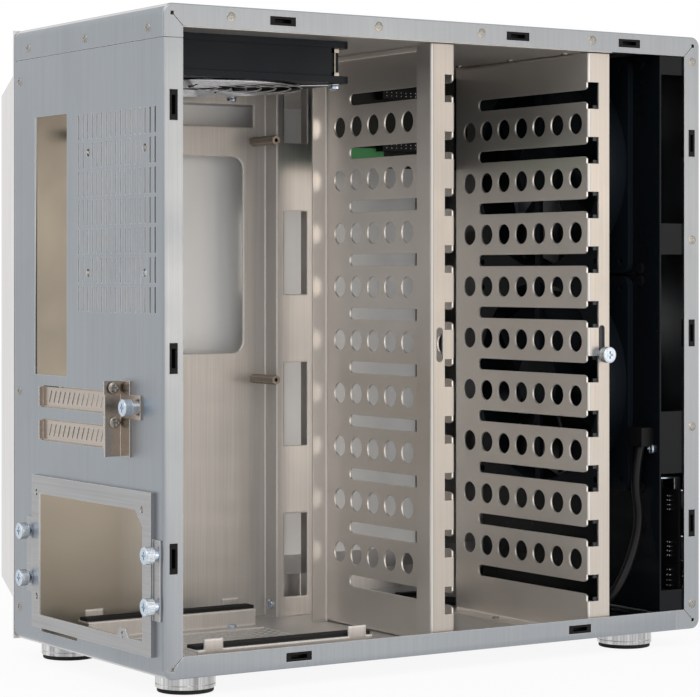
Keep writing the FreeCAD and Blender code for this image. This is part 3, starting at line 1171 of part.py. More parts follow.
def tangent_path(points):
    """Straight runs joined by arcs as large as the shorter run at each point allows."""
    places = [Vector(*point) for point in points]
    edges, radii = [], []
    start = places[0]
    for before, corner, after in zip(places, places[1:], places[2:]):
        back, ahead = before - corner, after - corner
        turn = pi - back.getAngle(ahead)
        reach = LEAD_REACH * min(back.Length, ahead.Length)
        radii.append(reach / tan(turn / 2))
        first, last = corner + back.normalize() * reach, corner + ahead.normalize() * reach
        bisector = (back + ahead).normalize()
        crown = corner + bisector * (radii[-1] / cos(turn / 2) - radii[-1])
        edges += [Part.LineSegment(start, first).toShape(), Part.Arc(first, crown, last).toShape()]
        start = last
    edges.append(Part.LineSegment(start, places[-1]).toShape())
    return Part.Wire(edges), radii


def front_lead():
    """Lead from the front ports, clamped to the fan bracket, ending in a header plug."""
    route = doc.addObject("Part::Feature", "lead_route")
    route.Shape, radii = tangent_path(LEAD_POINTS)
    section = doc.addObject("Part::RegularPolygon", "lead_section")
    section.Polygon = 4
    bind(section, "Circumradius", "lead_diameter / 2")
    start = Vector(*LEAD_POINTS[0])
    heading = Vector(*LEAD_POINTS[1]) - start
    section.Placement = Placement(start, Rotation(Vector(0, 0, 1), heading))
    lead = doc.addObject("Part::Sweep", "front_lead")
    lead.Sections = [section]
    lead.Spine = (route, [f"Edge{k + 1}" for k in range(len(route.Shape.Edges))])
    lead.Solid = True
    finish(lead, "front_lead")
    doc.recompute()
    area = size.lead_diameter ** 2 / 2
    print("lead length", round(route.Shape.Length, 1), "radii", [round(radius, 1) for radius in radii],
          "volume over section and length", round(lead.Shape.Volume / (area * route.Shape.Length), 4))
    x, y, z = LEAD_POINTS[0]
    low = f"({z} - lead_grip)"
    group([box(f"{x} - lead_clamp_width / 2", f"{x} + lead_clamp_width / 2",
               BRACKET, f"{BRACKET} + lead_clamp_depth", low, f"{low} + lead_clamp_height")], "lead_clamp")
    x, y, z = LEAD_POINTS[-1]
    start = f"({y} - lead_grip)"
    group([box(f"{x} - lead_plug_width / 2", f"{x} + lead_plug_width / 2",
               start, f"{start} + lead_plug_length",
               f"{z} - lead_plug_height / 2", f"{z} + lead_plug_height / 2")], "lead_plug")


def build():
    """Makes every piece of the case."""
    top_front_shell()
    rear_bottom_shell()
    feet()
    clip_sockets("left_clip_sockets", -1)
    clip_sockets("right_clip_sockets", 1)
    motherboard_tray()
    motherboard_standoffs()
    top_inner_plate()
    fans()
    front_fan_bracket()
    bays = cage_wall("cage_rear_wall", BAY_REAR, 1, "post_rear", True)
    cage_wall("cage_front_wall", BAY_FRONT, -1, "post_front", False)
    drive_lock(bays)
    drive_backplane(bays)
    psu_bracket()
    far_web = "(psu_x + rail_far)"
    psu_rail("psu_rail_far", "psu_foam_far", far_web, f"({far_web} + rail_top - rail_sheet)")
    psu_rail("psu_rail_near", "psu_foam_near", "(psu_x - rail_near)", "(psu_x - rail_near)")
    slot_cover("slot_cover_upper", UPPER_SLOT)
    slot_cover("slot_cover_lower", LOWER_SLOT)
    slot_clamp()
    front_ports()
    power_switch()
    right_side_panel()
    front_lead()


def export():
    """Writes one file for each piece, once the whole document is sound."""
    doc.recompute()
    for item in doc.Objects:
        if "Invalid" in item.State or "Error" in item.State:
            raise RuntimeError(f"{item.Name} failed: {item.State}")
    for item in sub_parts:
        if item.Shape.isNull() or not item.Shape.isValid():
            raise RuntimeError(f"{item.Label} has no sound shape")
    os.makedirs("parts", exist_ok=True)
    for item in sub_parts:
        item.Shape.exportStep(os.path.join("parts", f"{item.Label}.step"))
    print("pieces written:", len(sub_parts))


build()
export()
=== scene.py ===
"""Studio scene of an open mini-ITX case with a ten-bay drive cage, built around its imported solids."""
import json
import logging
import math
from collections.abc import Callable, Iterator, Sequence
from contextlib import contextmanager
from dataclasses import dataclass, field
from enum import Enum
from typing import Protocol

import bmesh
import bpy
from mathutils import Matrix, Vector


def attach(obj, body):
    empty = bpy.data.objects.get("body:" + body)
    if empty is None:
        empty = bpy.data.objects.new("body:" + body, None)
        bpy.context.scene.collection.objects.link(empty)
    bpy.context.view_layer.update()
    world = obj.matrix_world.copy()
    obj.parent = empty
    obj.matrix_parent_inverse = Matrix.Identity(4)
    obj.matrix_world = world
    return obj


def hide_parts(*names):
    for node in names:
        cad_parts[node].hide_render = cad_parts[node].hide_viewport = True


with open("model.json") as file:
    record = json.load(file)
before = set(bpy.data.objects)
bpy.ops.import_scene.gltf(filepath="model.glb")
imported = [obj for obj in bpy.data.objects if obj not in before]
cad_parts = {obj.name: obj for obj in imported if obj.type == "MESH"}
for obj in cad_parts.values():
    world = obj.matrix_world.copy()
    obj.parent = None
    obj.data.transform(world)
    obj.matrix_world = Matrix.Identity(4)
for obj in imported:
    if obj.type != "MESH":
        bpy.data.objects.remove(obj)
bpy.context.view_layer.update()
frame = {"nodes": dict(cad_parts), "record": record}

MM = 0.001
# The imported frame's origin lies under the middle of the whole part, so case millimetres move by this much
CASE_SHIFT = Vector((-6.5, -4.5, 10.8))
IMAGE_SIZE = (700, 697)
SMOOTH_ANGLE = math.radians(32)
QUARTER, FULL_TURN = math.pi / 2, 2 * math.pi
TOLERANCE = 0.01  # millimetres
SHARP_TURN = 0.5  # radians between faces that meet in a bend
FACING = 0.9  # share of a face's normal along the axis that it looks along
EDGE_RADIUS = 0.5 * MM
SHEET_STRETCH = (900.0, 900.0, 9.0)
PEBBLE_SCALE = 1800.0
# Sockets of a colour mix node
MIX_SHARE, MIX_FIRST, MIX_SECOND, MIX_COLOUR = 0, 6, 7, 2
LEFT = Vector((-1, 0, 0))
REAR, FRONT = Vector((0, 1, 0)), Vector((0, -1, 0))
UP, DOWN = Vector((0, 0, 1)), Vector((0, 0, -1))
Colour = tuple[float, float, float]
Point = tuple[float, float, float]
Piece = bpy.types.Object
Node = bpy.types.Node
Tree = bpy.types.NodeTree
Socket = str | int
Element = bmesh.types.BMVert | bmesh.types.BMEdge | bmesh.types.BMFace

log = logging.getLogger("case_scene")


def at(x: float, y: float, z: float) -> Vector:
    """Gives the scene place of a point in case millimetres.

    Args:
        x: Millimetres to the right of the case's middle.
        y: Millimetres behind the case's middle.
        z: Millimetres above the underside of the shell.

    Returns:
        The point in metres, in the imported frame.
    """
    return (Vector((x, y, z)) + CASE_SHIFT) * MM


class Body(Enum):
    """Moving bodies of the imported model."""

    CASE = "case"
    TOP_ROTOR = "top_fan_rotor"
    UPPER_ROTOR = "front_fan_upper_rotor"
    LOWER_ROTOR = "front_fan_lower_rotor"
    LOCK = "drive_lock"


class Slot(Enum):
    """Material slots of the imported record."""

    SHELL = "shell_sheet"
    INNER = "inner_sheet"
    PANEL = "panel_sheet"
    BRACKET = "bracket_sheet"
    NICKEL = "nickel"
    ZINC = "zinc"
    FOOT = "foot_metal"
    BRASS = "standoff_brass"
    BLACK_METAL = "black_metal"
    WIRE = "wire"
    FAN = "fan_plastic"
    BLACK_PLASTIC = "black_plastic"
    RUBBER = "rubber"
    BOARD = "board"
    DARK_BOARD = "dark_board"
    PORT = "port_metal"
    BUTTON = "button_metal"
    LIGHT = "light"
    JACKET = "lead_jacket"


class Pick(Enum):
    """Kinds of mesh element that can be selected."""

    VERTS = "VERT"
    EDGES = "EDGE"
    FACES = "FACE"


def near(first: float, second: float) -> bool:
    """Tells whether two lengths in millimetres agree."""
    return abs(first - second) < TOLERANCE


def middle(element: Element) -> Vector:
    """Gives the middle of a vertex, edge or face."""
    corners = [element] if isinstance(element, bmesh.types.BMVert) else list(element.verts)
    return sum((corner.co for corner in corners), Vector()) / len(corners)


def show(thing: Piece) -> None:
    """Puts a new object into the scene."""
    bpy.context.scene.collection.objects.link(thing)


def only(piece: Piece) -> None:
    """Selects one piece and nothing else."""
    bpy.ops.object.select_all(action="DESELECT")
    piece.select_set(True)
    bpy.context.view_layer.objects.active = piece


def bake_place(piece: Piece) -> None:
    """Moves a piece's place, turn and scale into its mesh."""
    only(piece)
    bpy.ops.object.transform_apply(location=True, rotation=True, scale=True)


def add_start(name: str, operator: Callable[..., set[str]], **settings: object) -> Piece:
    """Adds one primitive to start a piece from.

    Args:
        name: Name of the piece.
        operator: Operator that adds the primitive.
        settings: Its size and place, in case millimetres.

    Returns:
        The new object.
    """
    bpy.ops.object.select_all(action="DESELECT")
    operator(**settings)
    piece = bpy.context.object
    piece.name = piece.data.name = name
    return piece


def add_plate(name: str, centre: Point, size: tuple[float, float],
              turn: Point = (0.0, 0.0, 0.0)) -> Piece:
    """Adds a flat rectangle.

    Args:
        name: Name of the piece.
        centre: Its middle.
        size: Width and height before it is turned.
        turn: Euler angles.

    Returns:
        The rectangle, with its place in its mesh.
    """
    plate = add_start(name, bpy.ops.mesh.primitive_plane_add, size=1.0, location=centre, rotation=turn)
    plate.scale = (*size, 1.0)
    bake_place(plate)
    return plate


def add_block(name: str, low: Point, high: Point) -> Piece:
    """Adds a block between two corners.

    Args:
        name: Name of the piece.
        low: Lowest corner.
        high: Highest corner.

    Returns:
        The block, with its place in its mesh.
    """
    centre = (Vector(low) + Vector(high)) / 2
    block = add_start(name, bpy.ops.mesh.primitive_cube_add, size=1.0, location=centre)
    block.scale = Vector(high) - Vector(low)
    bake_place(block)
    return block


def add_rod(name: str, start: Point, axis: Vector, radius: float, length: float, sides: int) -> Piece:
    """Adds a round rod.

    Args:
        name: Name of the piece.
        start: Middle of its first end.
        axis: Direction that it runs in.
        radius: Radius.
        length: Length.
        sides: Sides of its section.

    Returns:
        The rod, with its place in its mesh.
    """
    rod = add_start(
        name, bpy.ops.mesh.primitive_cylinder_add, vertices=sides, radius=radius, depth=length,
        location=Vector(start) + axis * (length / 2), rotation=axis.to_track_quat("Z", "Y").to_euler())
    bake_place(rod)
    return rod


@contextmanager
def shaping(piece: Piece) -> Iterator[None]:
    """Opens a piece in edit mode with nothing selected, and closes it again."""
    only(piece)
    bpy.ops.object.mode_set(mode="EDIT")
    bpy.ops.mesh.select_all(action="DESELECT")
    yield
    bpy.ops.object.mode_set(mode="OBJECT")


def pick(kind: Pick, test: Callable[[Element], bool]) -> None:
    """Selects what passes a test on the piece in edit mode.

    Args:
        kind: Kind of mesh element.
        test: Says whether an element is selected.
    """
    bpy.ops.mesh.select_mode(type=kind.value)
    bpy.ops.mesh.select_all(action="DESELECT")
    data = bpy.context.object.data
    mesh = bmesh.from_edit_mesh(data)
    for element in getattr(mesh, kind.name.lower()):
        element.select_set(test(element))
    mesh.select_flush_mode()
    bmesh.update_edit_mesh(data)


def pick_rim(height: float) -> None:
    """Selects the edges that lie at a height on the piece in edit mode."""
    pick(Pick.EDGES, lambda edge: all(near(corner.co.z, height) for corner in edge.verts))


def extrude(x: float, y: float, z: float) -> None:
    """Extrudes what is selected by some millimetres."""
    bpy.ops.mesh.extrude_region_move(TRANSFORM_OT_translate={"value": (x, y, z)})


def round_corners(kind: Pick, radius: float, segments: int) -> None:
    """Rounds the selected corners of a flat outline, or the selected edges."""
    bpy.ops.mesh.bevel(offset=radius, segments=segments, affect="VERTICES" if kind is Pick.VERTS else "EDGES")


def pick_all() -> None:
    """Selects the whole piece in edit mode."""
    bpy.ops.mesh.select_all(action="SELECT")


def face_outwards() -> None:
    """Turns the faces of the piece in edit mode outwards."""
    pick_all()
    bpy.ops.mesh.normals_make_consistent(inside=False)


def spin(steps: int, hub: Point, copies: bool) -> None:
    """Spins the piece in edit mode once round an upright axis.

    Args:
        steps: Steps of the turn.
        hub: Point on the axis.
        copies: Sets out copies, in place of drawing one surface.
    """
    pick_all()
    bpy.ops.mesh.spin(steps=steps, dupli=copies, angle=FULL_TURN, center=hub, axis=UP)
    pick_all()
    bpy.ops.mesh.remove_doubles(threshold=TOLERANCE / 10)
    bpy.ops.mesh.normals_make_consistent(inside=False)


def modify(piece: Piece, kind: str, **settings: object) -> None:
    """Puts a modifier on a piece and applies it.

    Args:
        piece: The piece.
        kind: Modifier type.
        settings: Modifier properties.
    """
    only(piece)
    modifier = piece.modifiers.new(kind.lower(), kind)
    for name, value in settings.items():
        setattr(modifier, name, value)
    bpy.ops.object.modifier_apply(modifier=modifier.name)


def repeat(piece: Piece, step: Point, count: int) -> None:
    """Repeats a mesh in a straight row."""
    modify(piece, "ARRAY", use_relative_offset=False, use_constant_offset=True,
           constant_offset_displace=step, count=count)


def cut(piece: Piece, cutter: Piece) -> None:
    """Cuts one shape out of a piece."""
    modify(piece, "BOOLEAN", operation="DIFFERENCE", object=cutter, solver="EXACT")
    bpy.data.objects.remove(cutter)


def weld(piece: Piece, other: Piece) -> None:
    """Makes one solid of a piece and another shape."""
    modify(piece, "BOOLEAN", operation="UNION", object=other, solver="EXACT")
    bpy.data.objects.remove(other)


def join(name: str, pieces: Sequence[Piece]) -> Piece:
    """Joins several meshes into one piece.

    Args:
        name: Name of the joined piece.
        pieces: Meshes to join.

    Returns:
        The joined piece.
    """
    bpy.ops.object.select_all(action="DESELECT")
    for piece in pieces:
        piece.select_set(True)
    bpy.context.view_layer.objects.active = pieces[0]
    bpy.ops.object.join()
    pieces[0].name = pieces[0].data.name = name
    return pieces[0]


def to_frame(piece: Piece) -> None:
    """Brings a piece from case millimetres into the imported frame."""
    piece.location, piece.scale = CASE_SHIFT * MM, (MM, MM, MM)
    bake_place(piece)


def facing(place: Point, direction: Vector) -> Matrix:
    """Gives the turn and place of a shape whose own +Z is to point in a direction."""
    return Matrix.Translation(Vector(place)) @ direction.to_track_quat("Z", "Y").to_matrix().to_4x4()


def set_out(name: str, model: Piece, places: Sequence[Matrix]) -> Piece:
    """Copies a shape to several places.

    Args:
        name: Name of the joined copies.
        model: Shape modelled once at the origin. It is used up.
        places: Turn and place of each copy.

    Returns:
        All copies as one piece.
    """
    twins = []
    for place in places:
        twin = model.copy()
        twin.data = model.data.copy()
        show(twin)
        twin.matrix_world = place
        bake_place(twin)
        twins.append(twin)
    bpy.data.objects.remove(model)
    return join(name, twins)


class NodeSheet:
    """Adds shader nodes to one tree and links them."""

    def __init__(self, tree: Tree) -> None:
        """Starts on an empty tree."""
        self.tree = tree
        tree.nodes.clear()

    def add(self, kind: str, values: dict[Socket, object] | None = None, **settings: object) -> Node:
        """Adds a node.

        Args:
            kind: Node type without its ShaderNode prefix, or the full name of a group socket node.
            values: Unlinked inputs, by socket name or number.
            settings: Node properties.

        Returns:
            The new node.
        """
        node = self.tree.nodes.new(kind if kind.startswith("Node") else f"ShaderNode{kind}")
        for name, value in settings.items():
            setattr(node, name, value)
        for socket, value in (values or {}).items():
            node.inputs[socket].default_value = value
        return node

    def link(self, *wires: tuple[Node, Socket, Node, Socket]) -> None:
        """Links sockets, each wire an output of one node to an input of another."""
        for source, output, target, socket in wires:
            self.tree.links.new(source.outputs[output], target.inputs[socket])


def new_group(name: str, inputs: dict[str, tuple[str, object]],
              outputs: dict[str, str]) -> tuple[NodeSheet, Node, Node]:
    """Starts a shader node group.

    Args:
        name: Group name.
        inputs: Socket type suffix and default value, by socket name.
        outputs: Socket type suffix, by socket name.

    Returns:
        The group's sheet, its input node and its output node.
    """
    tree = bpy.data.node_groups.new(name, "ShaderNodeTree")
    for label, (kind, default) in inputs.items():
        socket = tree.interface.new_socket(name=label, in_out="INPUT", socket_type=f"NodeSocket{kind}")
        socket.default_value = default
    for label, kind in outputs.items():
        tree.interface.new_socket(name=label, in_out="OUTPUT", socket_type=f"NodeSocket{kind}")
    sheet = NodeSheet(tree)
    return sheet, sheet.add("NodeGroupInput"), sheet.add("NodeGroupOutput")


def grain_group() -> Tree:
    """Makes the fine drawn lines of rolled and brushed sheet.

    Returns:
        The node group.
    """
    sheet, given, result = new_group("drawn_grain", {"Stretch": ("Vector", SHEET_STRETCH)},
                                     {"Shade": "Float", "Height": "Float"})
    place, mapping = sheet.add("TexCoord"), sheet.add("Mapping")
    lines = sheet.add("TexNoise", {"Scale": 1.0, "Detail": 3.0, "Roughness": 0.7})
    shade = sheet.add("MapRange", {"From Min": 0.3, "From Max": 0.7})
    sheet.link((place, "Object", mapping, "Vector"), (given, "Stretch", mapping, "Scale"),
               (mapping, "Vector", lines, "Vector"), (lines, "Fac", shade, "Value"),
               (shade, "Result", result, "Shade"), (lines, "Fac", result, "Height"))
    return sheet.tree


def clouds_group() -> Tree:
    """Makes the soft uneven sheen that handling leaves on bare metal and plastic.

    Returns:
        The node group.
    """
    sheet, given, result = new_group(
        "handling_clouds", {"Scale": ("Float", 14.0), "Low": ("Float", 0.0), "High": ("Float", 1.0)},
        {"Value": "Float"})
    place = sheet.add("TexCoord")
    cloud = sheet.add("TexNoise", {"Detail": 4.0, "Roughness": 0.55, "Distortion": 0.4})
    spread = sheet.add("MapRange", {"From Min": 0.32, "From Max": 0.68})
    sheet.link((place, "Object", cloud, "Vector"), (given, "Scale", cloud, "Scale"),
               (cloud, "Fac", spread, "Value"), (given, "Low", spread, "To Min"),
               (given, "High", spread, "To Max"), (spread, "Result", result, "Value"))
    return sheet.tree


def edges_group() -> Tree:
    """Makes broken edges: a rounded normal and a mask of where the edge is painted bright, as wear and as a
    painted highlight.

    Returns:
        The node group.
    """
    sheet, given, result = new_group("broken_edges", {"Radius": ("Float", EDGE_RADIUS)},
                                     {"Normal": "Vector", "WearAndHighlight": "Float"})
    rounded, flat = sheet.add("Bevel", samples=4), sheet.add("NewGeometry")
    agree = sheet.add("VectorMath", operation="DOT_PRODUCT")
    wear_and_highlight = sheet.add("MapRange", {"From Min": 0.97, "From Max": 0.80})
    sheet.link((given, "Radius", rounded, "Radius"), (rounded, "Normal", agree, 0),
               (flat, "Normal", agree, 1), (agree, "Value", wear_and_highlight, "Value"),
               (rounded, "Normal", result, "Normal"), (wear_and_highlight, "Result", result, "WearAndHighlight"))
    return sheet.tree


def pebbles_group() -> Tree:
    """Makes the fine pebbled skin of moulded plastic, rubber and powder paint.

    Returns:
        The node group.
    """
    sheet, given, result = new_group("pebbled_skin", {"Scale": ("Float", PEBBLE_SCALE)},
                                     {"Shade": "Float", "Height": "Float"})
    place = sheet.add("TexCoord")
    fine = sheet.add("TexNoise", {"Detail": 2.0, "Roughness": 0.6})
    cells = sheet.add("TexVoronoi", {"Randomness": 1.0}, feature="SMOOTH_F1")
    both = sheet.add("Math", operation="MULTIPLY")
    for texture in (fine, cells):
        sheet.link((place, "Object", texture, "Vector"), (given, "Scale", texture, "Scale"))
    sheet.link((fine, "Fac", both, 0), (cells, "Distance", both, 1), (fine, "Fac", result, "Shade"),
               (both, "Value", result, "Height"))
    return sheet.tree


def inside_group() -> Tree:
    """Makes a mask of the faces that lie inside a box of the case.

    Returns:
        The node group.
    """
    sheet, given, result = new_group(
        "faces_inside", {"Centre": ("Vector", (0.0, 0.0, 0.0)), "Reach": ("Vector", (1.0, 1.0, 1.0))},
        {"Mask": "Float"})
    place, parts = sheet.add("TexCoord"), sheet.add("SeparateXYZ")
    offset, length, past = (
        sheet.add("VectorMath", operation=kind) for kind in ("SUBTRACT", "ABSOLUTE", "SUBTRACT"))
    wider, widest = (sheet.add("Math", operation="MAXIMUM") for _ in range(2))
    mask = sheet.add("Math", {1: 0.0}, operation="LESS_THAN")
    sheet.link((place, "Object", offset, 0), (given, "Centre", offset, 1), (offset, 0, length, 0),
               (length, 0, past, 0), (given, "Reach", past, 1), (past, 0, parts, 0), (parts, "X", wider, 0),
               (parts, "Y", wider, 1), (wider, 0, widest, 0), (parts, "Z", widest, 1), (widest, 0, mask, 0),
               (mask, 0, result, "Mask"))
    return sheet.tree


@dataclass
class Effects:
    """Surface effects that several finishes share, each a node group built once."""

    grain: Tree = field(default_factory=grain_group)
    clouds: Tree = field(default_factory=clouds_group)
    edges: Tree = field(default_factory=edges_group)
    pebbles: Tree = field(default_factory=pebbles_group)
    inside: Tree = field(default_factory=inside_group)


@dataclass
class Coating:
    """Nodes of one material while it is put together."""

    sheet: NodeSheet
    effects: Effects
    surface: Node
    edges: Node

    def mix(self, values: dict[Socket, Colour], *wires: tuple[Node, Socket, Socket]) -> Node:
        """Adds a mix of two colours.

        Args:
            values: Colours, by the number of the mix's socket.
            wires: Node, output and socket number of each linked input.

        Returns:
            The mix node.
        """
        opaque = {socket: (*colour, 1.0) for socket, colour in values.items()}
        mixed = self.sheet.add("Mix", opaque, data_type="RGBA")
        self.sheet.link(*((node, output, mixed, socket) for node, output, socket in wires))
        return mixed


@dataclass(frozen=True)
class Finish:
    """Surface with a fine texture, a cloudy sheen and broken edges."""

    name: str
    light: Colour
    dark: Colour
    roughness: tuple[float, float] = (0.30, 0.42)
    depth: float = field(default=0.05, kw_only=True)
    bump_reach: float = field(default=0.2 * MM, kw_only=True)
    edge_radius: float = field(default=EDGE_RADIUS, kw_only=True)

    def material(self, effects: Effects) -> bpy.types.Material:
        """Builds the material.

        Args:
            effects: Shared surface effects.

        Returns:
            The finished material.
        """
        made = bpy.data.materials.new(self.name)
        made.use_nodes = True
        sheet = NodeSheet(made.node_tree)
        surface = sheet.add("BsdfPrincipled", self.shader_values())
        output = sheet.add("OutputMaterial")
        texture = self.texture(sheet, effects)
        low, high = self.roughness
        clouds = sheet.add("Group", {"Low": low, "High": high}, node_tree=effects.clouds)
        edges = sheet.add("Group", {"Radius": self.edge_radius}, node_tree=effects.edges)
        bump = sheet.add("Bump", {"Strength": self.depth, "Distance": self.bump_reach})
        coating = Coating(sheet, effects, surface, edges)
        tone = coating.mix({MIX_FIRST: self.dark, MIX_SECOND: self.light}, (texture, "Shade", MIX_SHARE))
        sheet.link((self.colour(coating, tone), MIX_COLOUR, surface, "Base Color"),
                   (clouds, "Value", surface, "Roughness"), (texture, "Height", bump, "Height"),
                   (edges, "Normal", bump, "Normal"), (bump, "Normal", surface, "Normal"),
                   (surface, "BSDF", output, "Surface"))
        return made

    def shader_values(self) -> dict[Socket, float]:
        """Gives the shader's plain values."""
        return {}

    def texture(self, sheet: NodeSheet, effects: Effects) -> Node:
        """Adds the texture that shades and roughens the surface."""
        raise NotImplementedError

    def colour(self, coating: Coating, tone: Node) -> Node:
        """Gives the node whose colour the surface takes."""
        return tone


@dataclass(frozen=True)
class SheetMetal(Finish):
    """Bare metal with drawn grain and edges painted bright, partly as wear and partly as a painted highlight.
    """

    stretch: Point = SHEET_STRETCH
    # Colour of the bright edges: worn metal and painted highlight
    edge: Colour = (0.80, 0.79, 0.77)
    metallic: float = 1.0

    def shader_values(self) -> dict[Socket, float]:
        """Gives the shader's plain values."""
        return {"Metallic": self.metallic}

    def texture(self, sheet: NodeSheet, effects: Effects) -> Node:
        """Adds the drawn grain."""
        return sheet.add("Group", {"Stretch": self.stretch}, node_tree=effects.grain)

    def colour(self, coating: Coating, tone: Node) -> Node:
        """Brightens the tone along sharp edges, as wear and as a painted highlight."""
        return coating.mix({MIX_SECOND: self.edge}, (coating.edges, "WearAndHighlight", MIX_SHARE),
                           (tone, MIX_COLOUR, MIX_FIRST))


@dataclass(frozen=True)
class InsidePaintedLightSheet(SheetMetal):
    """Bare metal whose faces inside a box of the case are paler and duller: the paler tone is painted light,
    the light that falls into the open case, and faces outside the box keep the darker tone.
    """

    # Paler tone of the faces inside the box: painted light
    inside: Colour = (0.62, 0.61, 0.595)
    inside_metallic: float = 0.85
    low: Point = (-97.9, -196.4, 0.8)
    high: Point = (97.9, 196.4, 381.8)

    def colour(self, coating: Coating, tone: Node) -> Node:
        """Keeps the tone with its brightened edges outside the box, and takes the paler painted light inside
        it.

        Args:
            coating: Nodes of the material.
            tone: Node of the grain's tone.

        Returns:
            The node whose colour the surface takes.
        """
        low, high = at(*self.low), at(*self.high)
        sheet = coating.sheet
        faces = sheet.add("Group", {"Centre": (low + high) / 2, "Reach": (high - low) / 2},
                          node_tree=coating.effects.inside)
        sheen = sheet.add("MapRange", {"To Min": self.metallic, "To Max": self.inside_metallic})
        sheet.link((faces, "Mask", sheen, "Value"), (sheen, "Result", coating.surface, "Metallic"))
        return coating.mix({MIX_SECOND: self.inside}, (faces, "Mask", MIX_SHARE),
                           (super().colour(coating, tone), MIX_COLOUR, MIX_FIRST))


@dataclass(frozen=True)
class PaintedShadeSheet(SheetMetal):
    """Bare metal with a painted shade that darkens it gradually towards the rear of the case."""

    # Colour of the painted shade, and the depths where it starts and where it is full
    shade: Colour = (0.31, 0.278, 0.23)
    painted_shade_start: float = 80.0
    painted_shade_end: float = 125.0

    def colour(self, coating: Coating, tone: Node) -> Node:
        """Mixes the tone, with its brightened edges, with the painted shade further back.

        Args:
            coating: Nodes of the material.
            tone: Node of the grain's tone.

        Returns:
            The node whose colour the surface takes.
        """
        start, end = at(0.0, self.painted_shade_start, 0.0), at(0.0, self.painted_shade_end, 0.0)
        sheet = coating.sheet
        place, parts = sheet.add("TexCoord"), sheet.add("SeparateXYZ")
        behind = sheet.add("MapRange", {"From Min": start.y, "From Max": end.y})
        sheet.link((place, "Object", parts, "Vector"), (parts, "Y", behind, "Value"))
        return coating.mix({MIX_SECOND: self.shade}, (behind, "Result", MIX_SHARE),
                           (super().colour(coating, tone), MIX_COLOUR, MIX_FIRST))


@dataclass(frozen=True)
class Moulded(Finish):
    """Plastic, rubber or paint with a pebbled skin and soft edges."""

    roughness: tuple[float, float] = (0.35, 0.55)
    depth: float = field(default=0.12, kw_only=True)
    bump_reach: float = field(default=0.1 * MM, kw_only=True)
    edge_radius: float = field(default=0.4 * MM, kw_only=True)
    pebble_scale: float = PEBBLE_SCALE
    specular: float = 0.5
    coat: float = 0.0

    def shader_values(self) -> dict[Socket, float]:
        """Gives the shader's plain values."""
        return {"Metallic": 0.0, "Coat Weight": self.coat, "Specular IOR Level": self.specular}

    def texture(self, sheet: NodeSheet, effects: Effects) -> Node:
        """Adds the pebbled skin."""
        return sheet.add("Group", {"Scale": self.pebble_scale}, node_tree=effects.pebbles)


@dataclass(frozen=True)
class MaskedBoard(Moulded):
    """Circuit board whose solder mask is green in its lower rear corner and black elsewhere."""

    black: Colour = (0.004, 0.005, 0.004)
    strip_top: float = 313.2
    strip_front: float = -50.7
    strip_blur: float = 0.4

    def colour(self, coating: Coating, tone: Node) -> Node:
        """Keeps the green tone in the strip's corner, and takes black beyond it.

        Args:
            coating: Nodes of the material.
            tone: Node of the green tone.

        Returns:
            The node whose colour the surface takes.
        """
        corner = at(0.0, self.strip_front, self.strip_top)
        blur = self.strip_blur * MM
        sheet = coating.sheet
        place, parts = sheet.add("TexCoord"), sheet.add("SeparateXYZ")
        above = sheet.add("MapRange", {"From Min": corner.z - blur, "From Max": corner.z})
        before = sheet.add("MapRange", {"From Min": corner.y + blur, "From Max": corner.y})
        beyond = sheet.add("Math", operation="MAXIMUM")
        sheet.link((place, "Object", parts, "Vector"), (parts, "Z", above, "Value"),
                   (parts, "Y", before, "Value"), (above, "Result", beyond, 0), (before, "Result", beyond, 1))
        return coating.mix({MIX_SECOND: self.black}, (beyond, 0, MIX_SHARE), (tone, MIX_COLOUR, MIX_FIRST))
